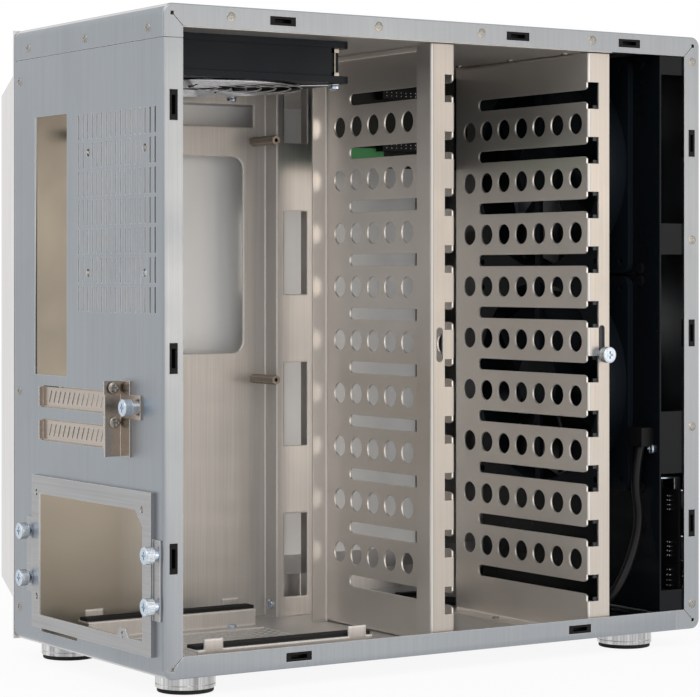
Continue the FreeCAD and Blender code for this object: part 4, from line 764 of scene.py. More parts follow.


# Tones of the tray, the rails and the inner top plate; the pale edge colour at a 2 mm radius is a painted
# highlight along the bends
INNER_LOOK = {"light": (0.60, 0.568, 0.538), "dark": (0.51, 0.482, 0.457), "roughness": (0.34, 0.46),
              "metallic": 0.78, "edge": (0.98, 0.94, 0.90), "edge_radius": 2.0 * MM}
FINISHES: dict[Slot, Finish] = {
    # The shell's inner faces take the painted light; the inner faces before y -163 and the vent slots' cut
    # faces keep the darker tone as painted shade
    Slot.SHELL: InsidePaintedLightSheet(
        "brushed_shell", (0.335, 0.358, 0.385), (0.300, 0.322, 0.348), depth=0.04,
        low=(-97.9, -163.0, 0.8), high=(97.9, 195.65, 381.8)),
    Slot.INNER: SheetMetal("satin_inner_sheet", **INNER_LOOK),
    # The panel's inner face behind the tray takes a near-white, matt painted light against the shade of the
    # gap
    Slot.PANEL: InsidePaintedLightSheet(
        "brushed_panel", (0.78, 0.76, 0.75), (0.70, 0.68, 0.67), (0.28, 0.36), inside=(0.95, 0.94, 0.92),
        inside_metallic=0.1, low=(90.0, -120.0, 38.0), high=(116.4, 176.0, 342.0)),
    Slot.BRACKET: SheetMetal(
        "brushed_bracket", (0.41, 0.41, 0.415), (0.345, 0.345, 0.35), (0.30, 0.40), (9.0, 900.0, 900.0)),
    Slot.NICKEL: SheetMetal(
        "nickel_plate", (0.48, 0.42, 0.37), (0.40, 0.35, 0.31), (0.20, 0.32), (9.0, 700.0, 700.0)),
    Slot.ZINC: SheetMetal(
        "bright_zinc", (0.58, 0.67, 0.77), (0.44, 0.53, 0.64), (0.14, 0.26), (500.0, 500.0, 500.0)),
    # The feet's strong light and dark bands are painted reflections of bright and dark surroundings
    Slot.FOOT: SheetMetal(
        "turned_foot", (0.80, 0.80, 0.80), (0.16, 0.16, 0.17), (0.08, 0.16), (150.0, 150.0, 4.0)),
    Slot.BRASS: SheetMetal(
        "brown_brass", (0.30, 0.25, 0.20), (0.20, 0.165, 0.13), (0.25, 0.36), (30.0, 900.0, 900.0)),
    Slot.BLACK_METAL: Moulded(
        "black_paint", (0.004, 0.006, 0.008), (0.002, 0.003, 0.004), (0.20, 0.30), 900.0, 0.15, depth=0.03),
    Slot.WIRE: SheetMetal(
        "plated_wire", (0.62, 0.62, 0.64), (0.50, 0.50, 0.52), (0.10, 0.20), (300.0, 300.0, 300.0)),
    Slot.FAN: Moulded(
        "fan_plastic", (0.006, 0.010, 0.014), (0.003, 0.005, 0.008), (0.40, 0.55), 1500.0, 0.18, depth=0.10),
    Slot.BLACK_PLASTIC: Moulded(
        "black_plastic", (0.006, 0.006, 0.007), (0.003, 0.003, 0.004), (0.35, 0.50), specular=0.15),
    Slot.RUBBER: Moulded(
        "foot_rubber", (0.016, 0.016, 0.016), (0.010, 0.010, 0.010), (0.65, 0.85), 1200.0, 0.25, depth=0.25),
    Slot.BOARD: MaskedBoard(
        "green_board", (0.07, 0.27, 0.10), (0.05, 0.22, 0.075), (0.30, 0.45), 700.0, 0.15, depth=0.06),
    Slot.DARK_BOARD: Moulded(
        "dark_board", (0.008, 0.008, 0.009), (0.004, 0.004, 0.005), (0.25, 0.40), 700.0, 0.3, depth=0.06),
    Slot.PORT: SheetMetal(
        "port_plate", (0.62, 0.62, 0.63), (0.50, 0.50, 0.52), (0.16, 0.28), (300.0, 300.0, 300.0)),
    Slot.BUTTON: SheetMetal(
        "button_face", (0.66, 0.66, 0.67), (0.56, 0.56, 0.57), (0.16, 0.26), (900.0, 30.0, 900.0)),
    Slot.LIGHT: Moulded(
        "light_lens", (0.42, 0.60, 0.84), (0.34, 0.50, 0.74), (0.08, 0.16), 900.0, coat=0.5, depth=0.02),
    Slot.JACKET: Moulded(
        "lead_jacket", (0.006, 0.006, 0.007), (0.003, 0.003, 0.004), (0.26, 0.36), 1400.0, 0.2, depth=0.08),
}
# The cage wall's faces inside the case take a paler painted light; the post's outer face, left of x -95.2,
# keeps the darker tone as painted shade
CAGE_SHEET = InsidePaintedLightSheet(
    "satin_cage_sheet", (0.435, 0.40, 0.365), (0.385, 0.355, 0.325), (0.30, 0.44), metallic=0.8,
    inside=(0.66, 0.62, 0.58), low=(-95.2, -196.4, 0.8))
# A lighter copy of the cage sheet for the front wall: painted light, with the same painted shade on its post
LIT_FRONT_CAGE_SHEET = InsidePaintedLightSheet(
    "satin_front_cage_sheet", (0.54, 0.50, 0.455), (0.48, 0.442, 0.405), (0.30, 0.44), metallic=0.8,
    inside=(0.82, 0.775, 0.725), low=(-95.2, -196.4, 0.8))
# The tray takes a painted shade towards the rear wall
TRAY_SHEET = PaintedShadeSheet("satin_tray_sheet", **INNER_LOOK)
LOCK_PAINT = Moulded(
    "lock_paint", (0.012, 0.016, 0.022), (0.008, 0.011, 0.015), (0.25, 0.38), 900.0, depth=0.03)
SCREW_STEEL = SheetMetal(
    "screw_steel", (0.32, 0.30, 0.26), (0.23, 0.21, 0.19), (0.18, 0.30), (400.0, 400.0, 400.0))


@dataclass
class Palette:
    """Finishes of the case, each built as a material once."""

    effects: Effects
    materials: dict[str, bpy.types.Material] = field(default_factory=dict)

    def dress(self, piece: Piece, finish: Finish) -> None:
        """Gives a piece a finish all over."""
        if finish.name not in self.materials:
            self.materials[finish.name] = finish.material(self.effects)
        if not piece.material_slots:
            piece.data.materials.append(None)
        for held in piece.material_slots:
            held.material = self.materials[finish.name]

    def dress_solids(self) -> None:
        """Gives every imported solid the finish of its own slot, and the tray and the lock bar their own."""
        for part in frame["record"]["subparts"]:
            self.dress(frame["nodes"][part["node"]], FINISHES[Slot(part["material_slot"])])
        self.dress(frame["nodes"]["motherboard_tray"], TRAY_SHEET)
        self.dress(frame["nodes"]["lock_bar"], LOCK_PAINT)

    def hand_over(self, piece: Piece, slot: Slot, body: Body, nodes: Sequence[str] = (),
                  finish: Finish | None = None) -> None:
        """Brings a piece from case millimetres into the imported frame, dresses it and ties it to its body.

        Args:
            piece: Piece in case millimetres.
            slot: Material slot of the record that it belongs to.
            body: Body that it moves with.
            nodes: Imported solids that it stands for.
            finish: Finish, where it isn't the slot's own.
        """
        to_frame(piece)
        self.keep(piece, slot, body, nodes, finish)

    def keep(self, piece: Piece, slot: Slot, body: Body, nodes: Sequence[str] = (),
             finish: Finish | None = None) -> None:
        """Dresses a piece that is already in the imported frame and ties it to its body.

        Args:
            piece: Piece in metres.
            slot: Material slot of the record that it belongs to.
            body: Body that it moves with.
            nodes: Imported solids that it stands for.
            finish: Finish, where it isn't the slot's own.
        """
        only(piece)
        bpy.ops.object.shade_smooth_by_angle(angle=SMOOTH_ANGLE)
        modify(piece, "WEIGHTED_NORMAL", mode="FACE_AREA", weight=100, keep_sharp=True)
        self.dress(piece, finish or FINISHES[slot])
        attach(piece, body.value)
        if nodes:
            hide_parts(*nodes)
        log.info("built %s, %d faces", piece.name, len(piece.data.polygons))


class SubAssembly(Protocol):
    """Group of pieces that is modelled here and stands in the case."""

    def build(self, palette: Palette) -> None:
        """Models the pieces and hands them over."""


@dataclass
class CageWall:
    """One perforated wall of the drive cage, folded from sheet, with a notched post at the open side."""

    node: str
    bay_face: float
    side: int
    post_width: float
    finish: Finish = CAGE_SHEET
    lip: float = 0.0
    sheet: float = 1.2
    post: float = -95.5
    far: float = 51.0
    low: float = 1.5
    high: float = 369.5
    far_flange: float = 12.0
    foot: float = 14.0
    foot_inset: float = 18.0
    relief: float = 3.0
    bend: float = 1.8
    bays: int = 10
    bay_first: float = 31.2
    bay_pitch: float = 34.54
    slot_height: float = 7.5
    slot_end: float = 29.0
    slot_round: float = 3.2
    mouth_height: float = 16.8
    mouth_flare: float = 0.6
    mouth_round: float = 3.8
    notch_width: float = 8.0
    guide_edge: float = 6.0
    guide_size: tuple[float, float] = (4.8, 21.0)
    guide_low: float = 176.0
    guide_round: float = 0.45
    hole: float = 13.4
    hole_first: float = 11.5
    hole_pitch: float = 19.65
    hole_columns: int = 7

    @property
    def mid(self) -> float:
        """Middle of the wall's sheet, along the case."""
        return self.bay_face + self.side * self.sheet / 2

    @property
    def punch_depth(self) -> float:
        """Depth of the punches, well past both faces of the sheet."""
        return 4 * self.sheet

    def build(self, palette: Palette) -> None:
        """Folds the sheet, punches it and stands it in the case.

        Args:
            palette: Finishes of the case.
        """
        wall = self.fold()
        cut(wall, join("punches", [self.hole_punches(), self.slot_punches()]))
        cut(wall, join("notches", [self.notch_punches(), self.guide_punch()]))
        palette.hand_over(wall, Slot.INNER, Body.CASE, [self.node], self.finish)

    def fold(self) -> Piece:
        """Extrudes the flanges from a flat sheet and rounds the bends.

        Returns:
            The folded sheet, without its holes.
        """
        half, mid = self.sheet / 2, self.mid
        left, right = self.post + half, self.far - half
        low, high = self.low + half, self.high - half
        start, end = self.post + self.foot_inset, self.far - self.relief
        wall = add_plate(f"{self.node}_sheet", ((left + right) / 2, mid, (low + high) / 2),
                         (right - left, high - low), (QUARTER, 0.0, 0.0))

        def flange_edge(edge: bmesh.types.BMEdge, height: float) -> bool:
            """Tells whether an edge between the reliefs lies at a height."""
            place = middle(edge)
            return near(place.z, height) and near(place.y, mid) and start < place.x < end

        with shaping(wall):
            for x in (start, end):
                pick_all()
                bpy.ops.mesh.bisect(plane_co=(x, mid, 0.0), plane_no=(1.0, 0.0, 0.0))
            pick(Pick.EDGES, lambda edge: near(middle(edge).x, left))
            extrude(0.0, self.side * (self.post_width - (self.sheet if self.lip else half)), 0.0)
            if self.lip:
                extrude(self.lip - half, 0.0, 0.0)
            pick(Pick.EDGES, lambda edge: near(middle(edge).x, right))
            extrude(0.0, self.side * (self.far_flange - half), 0.0)
            pick(Pick.EDGES, lambda edge: flange_edge(edge, high))
            extrude(0.0, self.side * (self.foot - half), 0.0)
            pick(Pick.EDGES, lambda edge: flange_edge(edge, low))
            extrude(0.0, -self.side * (self.foot + half), 0.0)
            face_outwards()
            pick(Pick.EDGES, lambda edge: not edge.is_boundary and edge.calc_face_angle(0.0) > SHARP_TURN)
            round_corners(Pick.EDGES, self.bend, 4)
        modify(wall, "SOLIDIFY", thickness=self.sheet, offset=0.0, use_even_offset=True)
        return wall

    def hole_punches(self) -> Piece:
        """Makes a round punch for every hole between the drive slots.

        Returns:
            All hole punches as one mesh.
        """
        start = (self.post + self.hole_first, self.mid - self.punch_depth / 2,
                 self.bay_first + self.bay_pitch / 2)
        punch = add_rod("hole", start, REAR, self.hole / 2, self.punch_depth, 28)
        repeat(punch, (self.hole_pitch, 0.0, 0.0), self.hole_columns)
        repeat(punch, (0.0, 0.0, self.bay_pitch), self.bays - 1)
        return punch

    def slot_punches(self) -> Piece:
        """Makes a punch for every drive slot, rounded at its end and where it meets the post.

        Returns:
            All slot punches as one mesh.
        """
        start, end = self.post + self.sheet + self.mouth_flare, self.far - self.slot_end
        mouth = start - self.mouth_flare
        punch = add_plate("slot", ((start + end) / 2, self.mid, self.bay_first),
                          (end - start, self.slot_height), (QUARTER, 0.0, 0.0))
        with shaping(punch):
            pick(Pick.EDGES, lambda edge: near(middle(edge).x, start))
            extrude(-self.mouth_flare, 0.0, 0.0)
            bpy.ops.transform.resize(value=(1.0, 1.0, self.mouth_height / self.slot_height),
                                     center_override=(mouth, self.mid, self.bay_first))
            extrude(-self.punch_depth, 0.0, 0.0)
            pick_all()
            bpy.ops.mesh.dissolve_faces()
            pick(Pick.VERTS, lambda corner: near(corner.co.x, end))
            round_corners(Pick.VERTS, self.slot_round, 6)
            pick(Pick.VERTS, lambda corner: near(corner.co.x, start))
            round_corners(Pick.VERTS, self.mouth_round, 6)
        modify(punch, "SOLIDIFY", thickness=self.punch_depth, offset=0.0)
        repeat(punch, (0.0, 0.0, self.bay_pitch), self.bays)
        return punch

    def notch_punches(self) -> Piece:
        """Makes a punch for every notch in the post.

        Returns:
            All notch punches as one mesh.
        """
        reach, rise = self.punch_depth / 2, self.mouth_height / 2
        first, second = sorted(self.bay_face + self.side * step for step in (-reach, self.notch_width))
        punch = add_block("notch", (self.post - reach, first, self.bay_first - rise),
                          (self.post + reach, second, self.bay_first + rise))
        repeat(punch, (0.0, 0.0, self.bay_pitch), self.bays)
        return punch

    def guide_punch(self) -> Piece:
        """Makes the punch for the lock bar's guide slot in the post.

        Returns:
            The guide slot's punch.
        """
        width, height = self.guide_size
        centre = self.bay_face + self.side * (self.post_width - self.guide_edge)
        punch = add_plate("guide", (self.post, centre, self.guide_low + height / 2), (height, width),
                          (0.0, QUARTER, 0.0))
        with shaping(punch):
            pick(Pick.VERTS, lambda corner: True)
            round_corners(Pick.VERTS, self.guide_round * width, 4)
        modify(punch, "SOLIDIFY", thickness=self.punch_depth, offset=0.0)
        return punch


@dataclass
class PerforatedShell:
    """Rear and bottom sheet with the floor's perforation, the upper vent rows and the supply's slot."""

    node: str = "rear_bottom_shell"
    hole: float = 3.6
    pitch: float = 6.2
    start: tuple[float, float] = (-28.0, 46.0)
    columns: int = 12
    rows: int = 23
    sheet: float = 1.5
    merge: float = 1e-6
    slot_low: Point = (10.0, 190.0, 9.3)
    slot_high: Point = (60.0, 200.0, 11.6)
    vent_centre: Point = (-40.4, 196.3, 265.8)
    vent_pitch: tuple[float, float] = (6.02, 17.1)
    vent_slot: tuple[float, float] = (1.8, 15.0)
    # First column, number of columns and row of each run of slots
    vent_runs: Sequence[tuple[int, int, int]] = ((-8, 17, 3), (-8, 2, 2), (-5, 11, 2), (7, 2, 2))

    def build(self, palette: Palette) -> None:
        """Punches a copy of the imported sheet.

        Args:
            palette: Finishes of the case.
        """
        source = frame["nodes"][self.node]
        shell = source.copy()
        shell.data = source.data.copy()
        shell.name = shell.data.name = "rear_bottom_sheet"
        show(shell)
        with shaping(shell):
            pick_all()
            bpy.ops.mesh.remove_doubles(threshold=self.merge)
        punches = self.punches()
        to_frame(punches)
        cut(shell, punches)
        palette.keep(shell, Slot.SHELL, Body.CASE, [self.node])

    def punches(self) -> Piece:
        """Makes the perforation's punches, the vent rows' and the slot's.

        Returns:
            All punches as one mesh.
        """
        dot = add_rod("dot", (*self.start, -self.sheet), UP, self.hole / 2, 3 * self.sheet, 10)
        repeat(dot, (self.pitch, 0.0, 0.0), self.columns)
        repeat(dot, (0.0, self.pitch, 0.0), self.rows)
        vents = [self.vent_run(*run) for run in self.vent_runs]
        return join("punches", [dot, add_block("slot", self.slot_low, self.slot_high), *vents])

    def vent_run(self, first: int, count: int, row: int) -> Piece:
        """Makes the punches of one straight run of vent slots.

        Args:
            first: Column of its first slot, counted from the vent's middle.
            count: Number of slots.
            row: Row, counted up from the vent's middle.

        Returns:
            The run's punches.
        """
        half = Vector((self.vent_slot[0], 3 * self.sheet, self.vent_slot[1])) / 2
        across, rise = self.vent_pitch
        centre = Vector(self.vent_centre) + Vector((first * across, 0.0, row * rise))
        punch = add_block("vent", centre - half, centre + half)
        repeat(punch, (across, 0.0, 0.0), count)
        return punch


@dataclass
class Thumbscrews:
    """Knurled thumbscrews with a collar and a crossed head."""

    name: str
    node: str
    seats: Sequence[Point]
    direction: Vector
    body: Body = Body.CASE
    head: float = 10.0
    head_length: float = 4.85
    collar: float = 7.4
    collar_length: float = 3.0
    knurl: float = 0.28
    knurl_rim: float = 0.6
    face_rim: float = 0.7
    face_rise: float = 0.35
    face_inset: float = 0.5
    sides: int = 30
    cross: tuple[float, float, float] = (4.8, 1.3, 1.2)

    def build(self, palette: Palette) -> None:
        """Sets a thumbscrew on every seat.

        Args:
            palette: Finishes of the case.
        """
        screws = set_out(self.name, self.model(), [facing(seat, self.direction) for seat in self.seats])
        palette.hand_over(screws, Slot.ZINC, self.body, [self.node])

    def model(self) -> Piece:
        """Knurls a round head, draws its collar and cuts its cross.

        Returns:
            One thumbscrew, standing on the origin along +Z.
        """
        top = self.collar_length + self.head_length
        start = (0.0, 0.0, self.collar_length)
        screw = add_rod("thumbscrew", start, UP, self.head / 2, self.head_length, self.sides)
        with shaping(screw):
            pick(Pick.FACES, lambda face: abs(face.normal.z) < 1 - FACING)
            bpy.ops.mesh.inset(thickness=self.knurl_rim * self.knurl, depth=-self.knurl, use_individual=True)
            pick(Pick.FACES, lambda face: face.normal.z > FACING and near(middle(face).z, top))
            bpy.ops.mesh.inset(thickness=self.face_rim)
            extrude(0.0, 0.0, self.face_rise)
            bpy.ops.mesh.inset(thickness=self.face_inset)
            pick(Pick.FACES, lambda face: face.normal.z < -FACING and near(middle(face).z, start[2]))
            bpy.ops.mesh.inset(thickness=(self.head - self.collar) / 2)
            extrude(0.0, 0.0, -self.collar_length)
        cross_cut(screw, top + self.face_rise, self.cross)
        return screw


def cross_cut(screw: Piece, top: float, cross: Sequence[float]) -> None:
    """Cuts a cross into a screw head.

    Args:
        screw: Screw along +Z at the origin.
        top: Height of its head's face.
        cross: Length, width and depth of the cross.
    """
    length, width, depth = cross
    for across, along in ((length, width), (width, length)):
        half = Vector((across / 2, along / 2, depth))
        cut(screw, add_block("cross", top * UP - half, top * UP + half))


@dataclass
class Screws:
    """Small crossed screws, flat or domed, set into the sheets."""

    name: str
    seats: Sequence[tuple[Point, Vector]]
    radius: float = 2.9
    rise: float = 0.5
    dome: float = 0.3
    slot: Slot = Slot.ZINC
    finish: Finish | None = None
    sunk: float = 0.4
    # Shares of the radius
    rim: float = 0.3
    cross: tuple[float, float, float] = (1.15, 0.3, 0.3)

    def build(self, palette: Palette) -> None:
        """Sets a screw on every seat.

        Args:
            palette: Finishes of the case.
        """
        screws = set_out(self.name, self.model(), [facing(seat, direction) for seat, direction in self.seats])
        palette.hand_over(screws, self.slot, Body.CASE, finish=self.finish)

    def model(self) -> Piece:
        """Domes a flat head and cuts its cross.

        Returns:
            One screw head, sunk a little under the origin along +Z.
        """
        screw = add_rod("screw", (0.0, 0.0, -self.sunk), UP, self.radius, self.rise + self.sunk, 24)
        with shaping(screw):
            pick(Pick.FACES, lambda face: face.normal.z > FACING)
            bpy.ops.mesh.inset(thickness=self.rim * self.radius)
            bpy.ops.transform.translate(value=(0.0, 0.0, self.dome))
            bpy.ops.mesh.inset(thickness=self.rim * self.radius)
        cross_cut(screw, self.rise + self.dome, [share * self.radius for share in self.cross])
        return screw


@dataclass
class FingerGuard:
    """Wire guard below the top fan: spun rings on two crossed bars with an eye at each end."""

    node: str = "top_fan_guard"
    centre: Point = (0.0, 122.4, 343.2)
    rings: Sequence[float] = (14.0, 23.0, 32.0, 41.0, 50.0, 59.0, 66.0)
    wire: float = 1.3
    bar_lift: float = 0.6
    eye_reach: float = 62.25
    eye: float = 3.0
    wire_sides: int = 8
    ring_steps: int = 72
    eye_steps: int = 20

    def build(self, palette: Palette) -> None:
        """Bends the wires and hangs the guard under the fan.

        Args:
            palette: Finishes of the case.
        """
        x, y, z = self.centre
        sections = [(x + radius, y, z) for radius in self.rings]
        pieces = [self.spun("rings", sections, self.centre, self.ring_steps)]
        for lean in (1, -1):
            pieces.append(self.bar(lean))
            for end in (1, -1):
                hub = (x + end * self.eye_reach, y + end * lean * self.eye_reach, z + self.bar_lift)
                pieces.append(self.spun("eye", [(hub[0] + self.eye, *hub[1:])], hub, self.eye_steps))
        palette.hand_over(join("finger_guard", pieces), Slot.WIRE, Body.CASE, [self.node])

    def section(self, name: str, place: Point) -> Piece:
        """Adds the wire's round section, standing across the case."""
        piece = add_start(name, bpy.ops.mesh.primitive_circle_add, vertices=self.wire_sides,
                          radius=self.wire / 2, location=place, rotation=(QUARTER, 0.0, 0.0))
        bake_place(piece)
        return piece

    def spun(self, name: str, places: Sequence[Point], hub: Point, steps: int) -> Piece:
        """Spins wire sections into rings.

        Args:
            name: Name of the mesh.
            places: Middle of each section.
            hub: Middle of the rings.
            steps: Straight runs in a ring.

        Returns:
            The rings as one mesh.
        """
        rings = join(name, [self.section(name, place) for place in places])
        with shaping(rings):
            spin(steps, hub, False)
        return rings

    def bar(self, lean: int) -> Piece:
        """Draws one straight bar from eye to eye.

        Args:
            lean: 1 or -1, for the two diagonals.

        Returns:
            The bar.
        """
        reach = self.eye_reach - self.eye / math.sqrt(2)
        x, y, z = self.centre
        bar = add_start("bar", bpy.ops.mesh.primitive_circle_add, vertices=self.wire_sides,
                        radius=self.wire / 2, fill_type="NGON",
                        location=(x - reach, y - lean * reach, z + self.bar_lift),
                        rotation=Vector((1.0, lean, 0.0)).to_track_quat("Z", "Y").to_euler())
        bake_place(bar)
        with shaping(bar):
            pick_all()
            extrude(2 * reach, 2 * lean * reach, 0.0)
            face_outwards()
        return bar


@dataclass
class Fan:
    """One cased fan: a square frame, which may have open corners, and a bladed rotor that turns in it."""

    name: str
    frame_node: str
    rotor_node: str
    rotor_body: Body
    base: Point
    direction: Vector
    side: float = 140.0
    corner: float = 7.0
    depth: float = 25.0
    flange: float = 4.0
    bore: float = 132.0
    wall: float = 2.0
    open_corner: float = 0.0
    hub: float = 42.0
    motor_plate: float = 3.0
    hub_gap: float = 1.0
    strut: float = 5.0
    bush: float = 1.6
    spare: float = 1.0
    screw_pitch: float = 124.5
    screw_hole: float = 4.3
    blades: int = 7
    blade_chord: float = 40.0
    blade_pitch: float = 34.0
    blade_twist: float = -16.0
    blade_sheet: float = 1.8
    blade_root: float = 1.6
    # The blade's end before its flare, as a share of the tip's radius, then the flare and its middle
    tip_share: float = 0.94
    tip_flare: float = 1.12
    tip_middle: float = 4.0
    tip_gap: float = 2.4
    rotor_gap: float = 0.4
    crown: float = 2.5
    pin: float = 1.5
    pin_low: float = 0.6

    def build(self, palette: Palette) -> None:
        """Makes frame and rotor and hangs both in the case.

        Args:
            palette: Finishes of the case.
        """
        place = [facing(self.base, self.direction)]
        casing = set_out(f"{self.name}_casing", self.casing(), place)
        palette.hand_over(casing, Slot.FAN, Body.CASE, [self.frame_node])
        wheel = set_out(f"{self.name}_wheel", self.wheel(), place)
        palette.hand_over(wheel, Slot.FAN, self.rotor_body, [self.rotor_node])

    def casing(self) -> Piece:
        """Welds two flanges, the duct, the struts and the motor seat into one frame.

        Returns:
            The frame along +Z, its motor seat at the origin.
        """
        frame_piece = self.flange_plate(0.0)
        weld(frame_piece, self.flange_plate(self.depth - self.flange))
        weld(frame_piece, self.duct())
        start, through = (0.0, 0.0, -self.spare), self.depth + 2 * self.spare
        cut(frame_piece, add_rod("bore", start, UP, self.bore / 2, through, 64))
        half = self.screw_pitch / 2
        holes = add_rod("hole", (-half, -half, -self.spare), UP, self.screw_hole / 2, through, 16)
        repeat(holes, (self.screw_pitch, 0.0, 0.0), 2)
        repeat(holes, (0.0, self.screw_pitch, 0.0), 2)
        cut(frame_piece, holes)
        reach, width = self.bore / 2 + self.wall / 2, self.strut / 2
        for x, y in ((reach, width), (width, reach)):
            weld(frame_piece, add_block("strut", (-x, -y, 0.0), (x, y, self.motor_plate)))
        weld(frame_piece, add_rod("seat", (0.0, 0.0, 0.0), UP, self.hub / 2, self.motor_plate, 48))
        cut(frame_piece, add_rod("bush", start, UP, self.bush, self.motor_plate + 2 * self.spare, 16))
        return frame_piece

    def duct(self) -> Piece:
        """Makes the body between the flanges, round, or square with open corners.

        Returns:
            The body, without its bore.
        """
        if not self.open_corner:
            return add_rod("duct", (0.0, 0.0, 0.0), UP, self.bore / 2 + self.wall, self.depth, 64)
        half = self.side / 2 - self.spare
        inner, outer = half - self.open_corner, half + self.spare
        body = add_block("duct", (-half, -half, 0.0), (half, half, self.depth))
        corner = add_block("corner", (inner, inner, -self.spare), (outer, outer, self.depth + self.spare))
        cut(body, set_out("corners", corner, [Matrix.Rotation(turn * QUARTER, 4, "Z") for turn in range(4)]))
        return body

    def flange_plate(self, low: float) -> Piece:
        """Makes one square flange with rounded corners.

        Args:
            low: Height of its underside.

        Returns:
            The flange.
        """
        plate = add_plate("flange", (0.0, 0.0, low), (self.side, self.side))
        with shaping(plate):
            pick(Pick.VERTS, lambda corner: True)
            round_corners(Pick.VERTS, self.corner, 5)
            pick_all()
            extrude(0.0, 0.0, self.flange)
            face_outwards()
        return plate

    def wheel(self) -> Piece:
        """Crowns the hub and spins the blades round it.

        Returns:
            The rotor along +Z, its hub just above the motor seat.
        """
        low, high = self.motor_plate + self.hub_gap, self.depth - self.spare
        radius = self.hub / 2 - self.rotor_gap
        hub = add_rod("hub", (0.0, 0.0, low), UP, radius, high - low, 48)
        with shaping(hub):
            pick_rim(high)
            round_corners(Pick.EDGES, self.crown, 4)
            pick(Pick.FACES, lambda face: face.normal.z < -FACING)
            bpy.ops.mesh.inset(thickness=radius - self.pin)
            extrude(0.0, 0.0, self.pin_low - low)
        return join("wheel", [hub, self.blade_ring()])

    def blade_ring(self) -> Piece:
        """Twists one blade from a grid and spins copies of it round the axis.

        Returns:
            All blades as one mesh.
        """
        root, tip = self.hub / 2 - self.blade_root, self.bore / 2 - self.tip_gap
        end = self.tip_share * tip
        height = (self.motor_plate + self.depth) / 2
        blade = add_start("blade", bpy.ops.mesh.primitive_grid_add, size=1.0, x_subdivisions=8,
                          y_subdivisions=6)
        blade.scale = (end - root, self.blade_chord, 1.0)
        bake_place(blade)
        modify(blade, "SIMPLE_DEFORM", deform_method="TWIST", deform_axis="X",
               angle=math.radians(self.blade_twist))
        blade.rotation_euler = (math.radians(self.blade_pitch), 0.0, 0.0)
        blade.location = ((root + end) / 2, 0.0, height)
        bake_place(blade)
        with shaping(blade):
            pick(Pick.VERTS, lambda corner: corner.co.x > end - TOLERANCE)
            bpy.ops.transform.resize(value=(1.0, self.tip_flare, 1.0),
                                     center_override=(tip, self.tip_middle, height))
        modify(blade, "SOLIDIFY", thickness=self.blade_sheet, offset=0.0)
        with shaping(blade):
            spin(self.blades, (0.0, 0.0, 0.0), True)
        return blade


@dataclass
class FanStuds:
    """Studs in the open corners of the top fan, each with a nut at both flanges."""

    centre: tuple[float, float] = (0.0, 122.4)
    reach: float = 62.25
    low: float = 348.5
    high: float = 365.5
    radius: float = 0.9
    nut: float = 3.2
    nut_height: float = 2.6

    def build(self, palette: Palette) -> None:
        """Sets a stud with two nuts into each corner.

        Args:
            palette: Finishes of the case.
        """
        stud = add_rod("stud", (0.0, 0.0, self.low), UP, self.radius, self.high - self.low, 12)
        nuts = add_rod("nut", (0.0, 0.0, self.low), UP, self.nut, self.nut_height, 6)
        repeat(nuts, (0.0, 0.0, self.high - self.low - self.nut_height), 2)
        x, y = self.centre
        places = [Matrix.Translation((x + across * self.reach, y + along * self.reach, 0.0))
                  for across in (1, -1) for along in (1, -1)]
        studs = set_out("fan_studs", join("stud", [stud, nuts]), places)
        palette.hand_over(studs, Slot.ZINC, Body.CASE, finish=SCREW_STEEL)


@dataclass
class Feet:
    """Turned feet with a bead at the floor, each on a rubber pad."""

    places: Sequence[tuple[float, float]] = ((-75.0, 170.0), (75.0, 170.0), (-75.0, -153.6), (75.0, -153.6))
    radius: float = 17.5
    height: float = 8.4
    rim: float = 0.8
    groove: float = 5.8
    groove_half: float = 0.35
    groove_share: float = 0.975
    pad_height: float = 2.4
    pad_radius: float = 16.5
    pad_rim: float = 0.7

    def build(self, palette: Palette) -> None:
        """Turns the feet and pads and sets them under the case.

        Args:
            palette: Finishes of the case.
        """
        spots = [Matrix.Translation((x, y, 0.0)) for x, y in self.places]
        palette.hand_over(set_out("turned_feet", self.ring(), spots), Slot.FOOT, Body.CASE, ["feet"])
        palette.hand_over(set_out("rubber_pads", self.pad(), spots), Slot.RUBBER, Body.CASE, ["foot_pads"])

    def ring(self) -> Piece:
        """Turns a groove above the bead and rounds both rims.

        Returns:
            One foot under the origin.
        """
        foot = add_rod("foot", (0.0, 0.0, -self.height), UP, self.radius, self.height, 64)
        with shaping(foot):
            for step in (-self.groove_half, 0.0, self.groove_half):
                pick_all()
                bpy.ops.mesh.bisect(plane_co=(0.0, 0.0, step - self.groove), plane_no=UP)
            pick(Pick.VERTS, lambda corner: near(corner.co.z, -self.groove))
            bpy.ops.transform.resize(value=(self.groove_share, self.groove_share, 1.0),
                                     center_override=(0.0, 0.0, -self.groove))
            pick_rim(-self.height)
            round_corners(Pick.EDGES, self.rim, 3)
        return foot

    def pad(self) -> Piece:
        """Rounds a pad's lower rim.

        Returns:
            One pad under its foot.
        """
        low = -self.height - self.pad_height
        pad = add_rod("pad", (0.0, 0.0, low), UP, self.pad_radius, self.pad_height, 48)
        with shaping(pad):
            pick_rim(low)
            round_corners(Pick.EDGES, self.pad_rim, 3)
        return pad


@dataclass
class Pins:
    """Rows of small solder pins or contacts standing on a board or plug."""

    name: str
    starts: Sequence[Point]
    row_step: Point
    rows: int
    column_step: Point
    columns: int
    size: Point
    taper: float = 0.25
    taper_angle: float = math.radians(40)

    def build(self, palette: Palette) -> None:
        """Tapers one pin and sets out every row.

        Args:
            palette: Finishes of the case.
        """
        half = Vector(self.size) / 2
        pin = add_block("pin", -half, half)
        modify(pin, "BEVEL", width=self.taper * min(self.size), segments=1, limit_method="ANGLE",
               angle_limit=self.taper_angle)
        repeat(pin, self.row_step, self.rows)
        repeat(pin, self.column_step, self.columns)
        pins = set_out(self.name, pin, [Matrix.Translation(start) for start in self.starts])
        palette.hand_over(pins, Slot.PORT, Body.CASE)


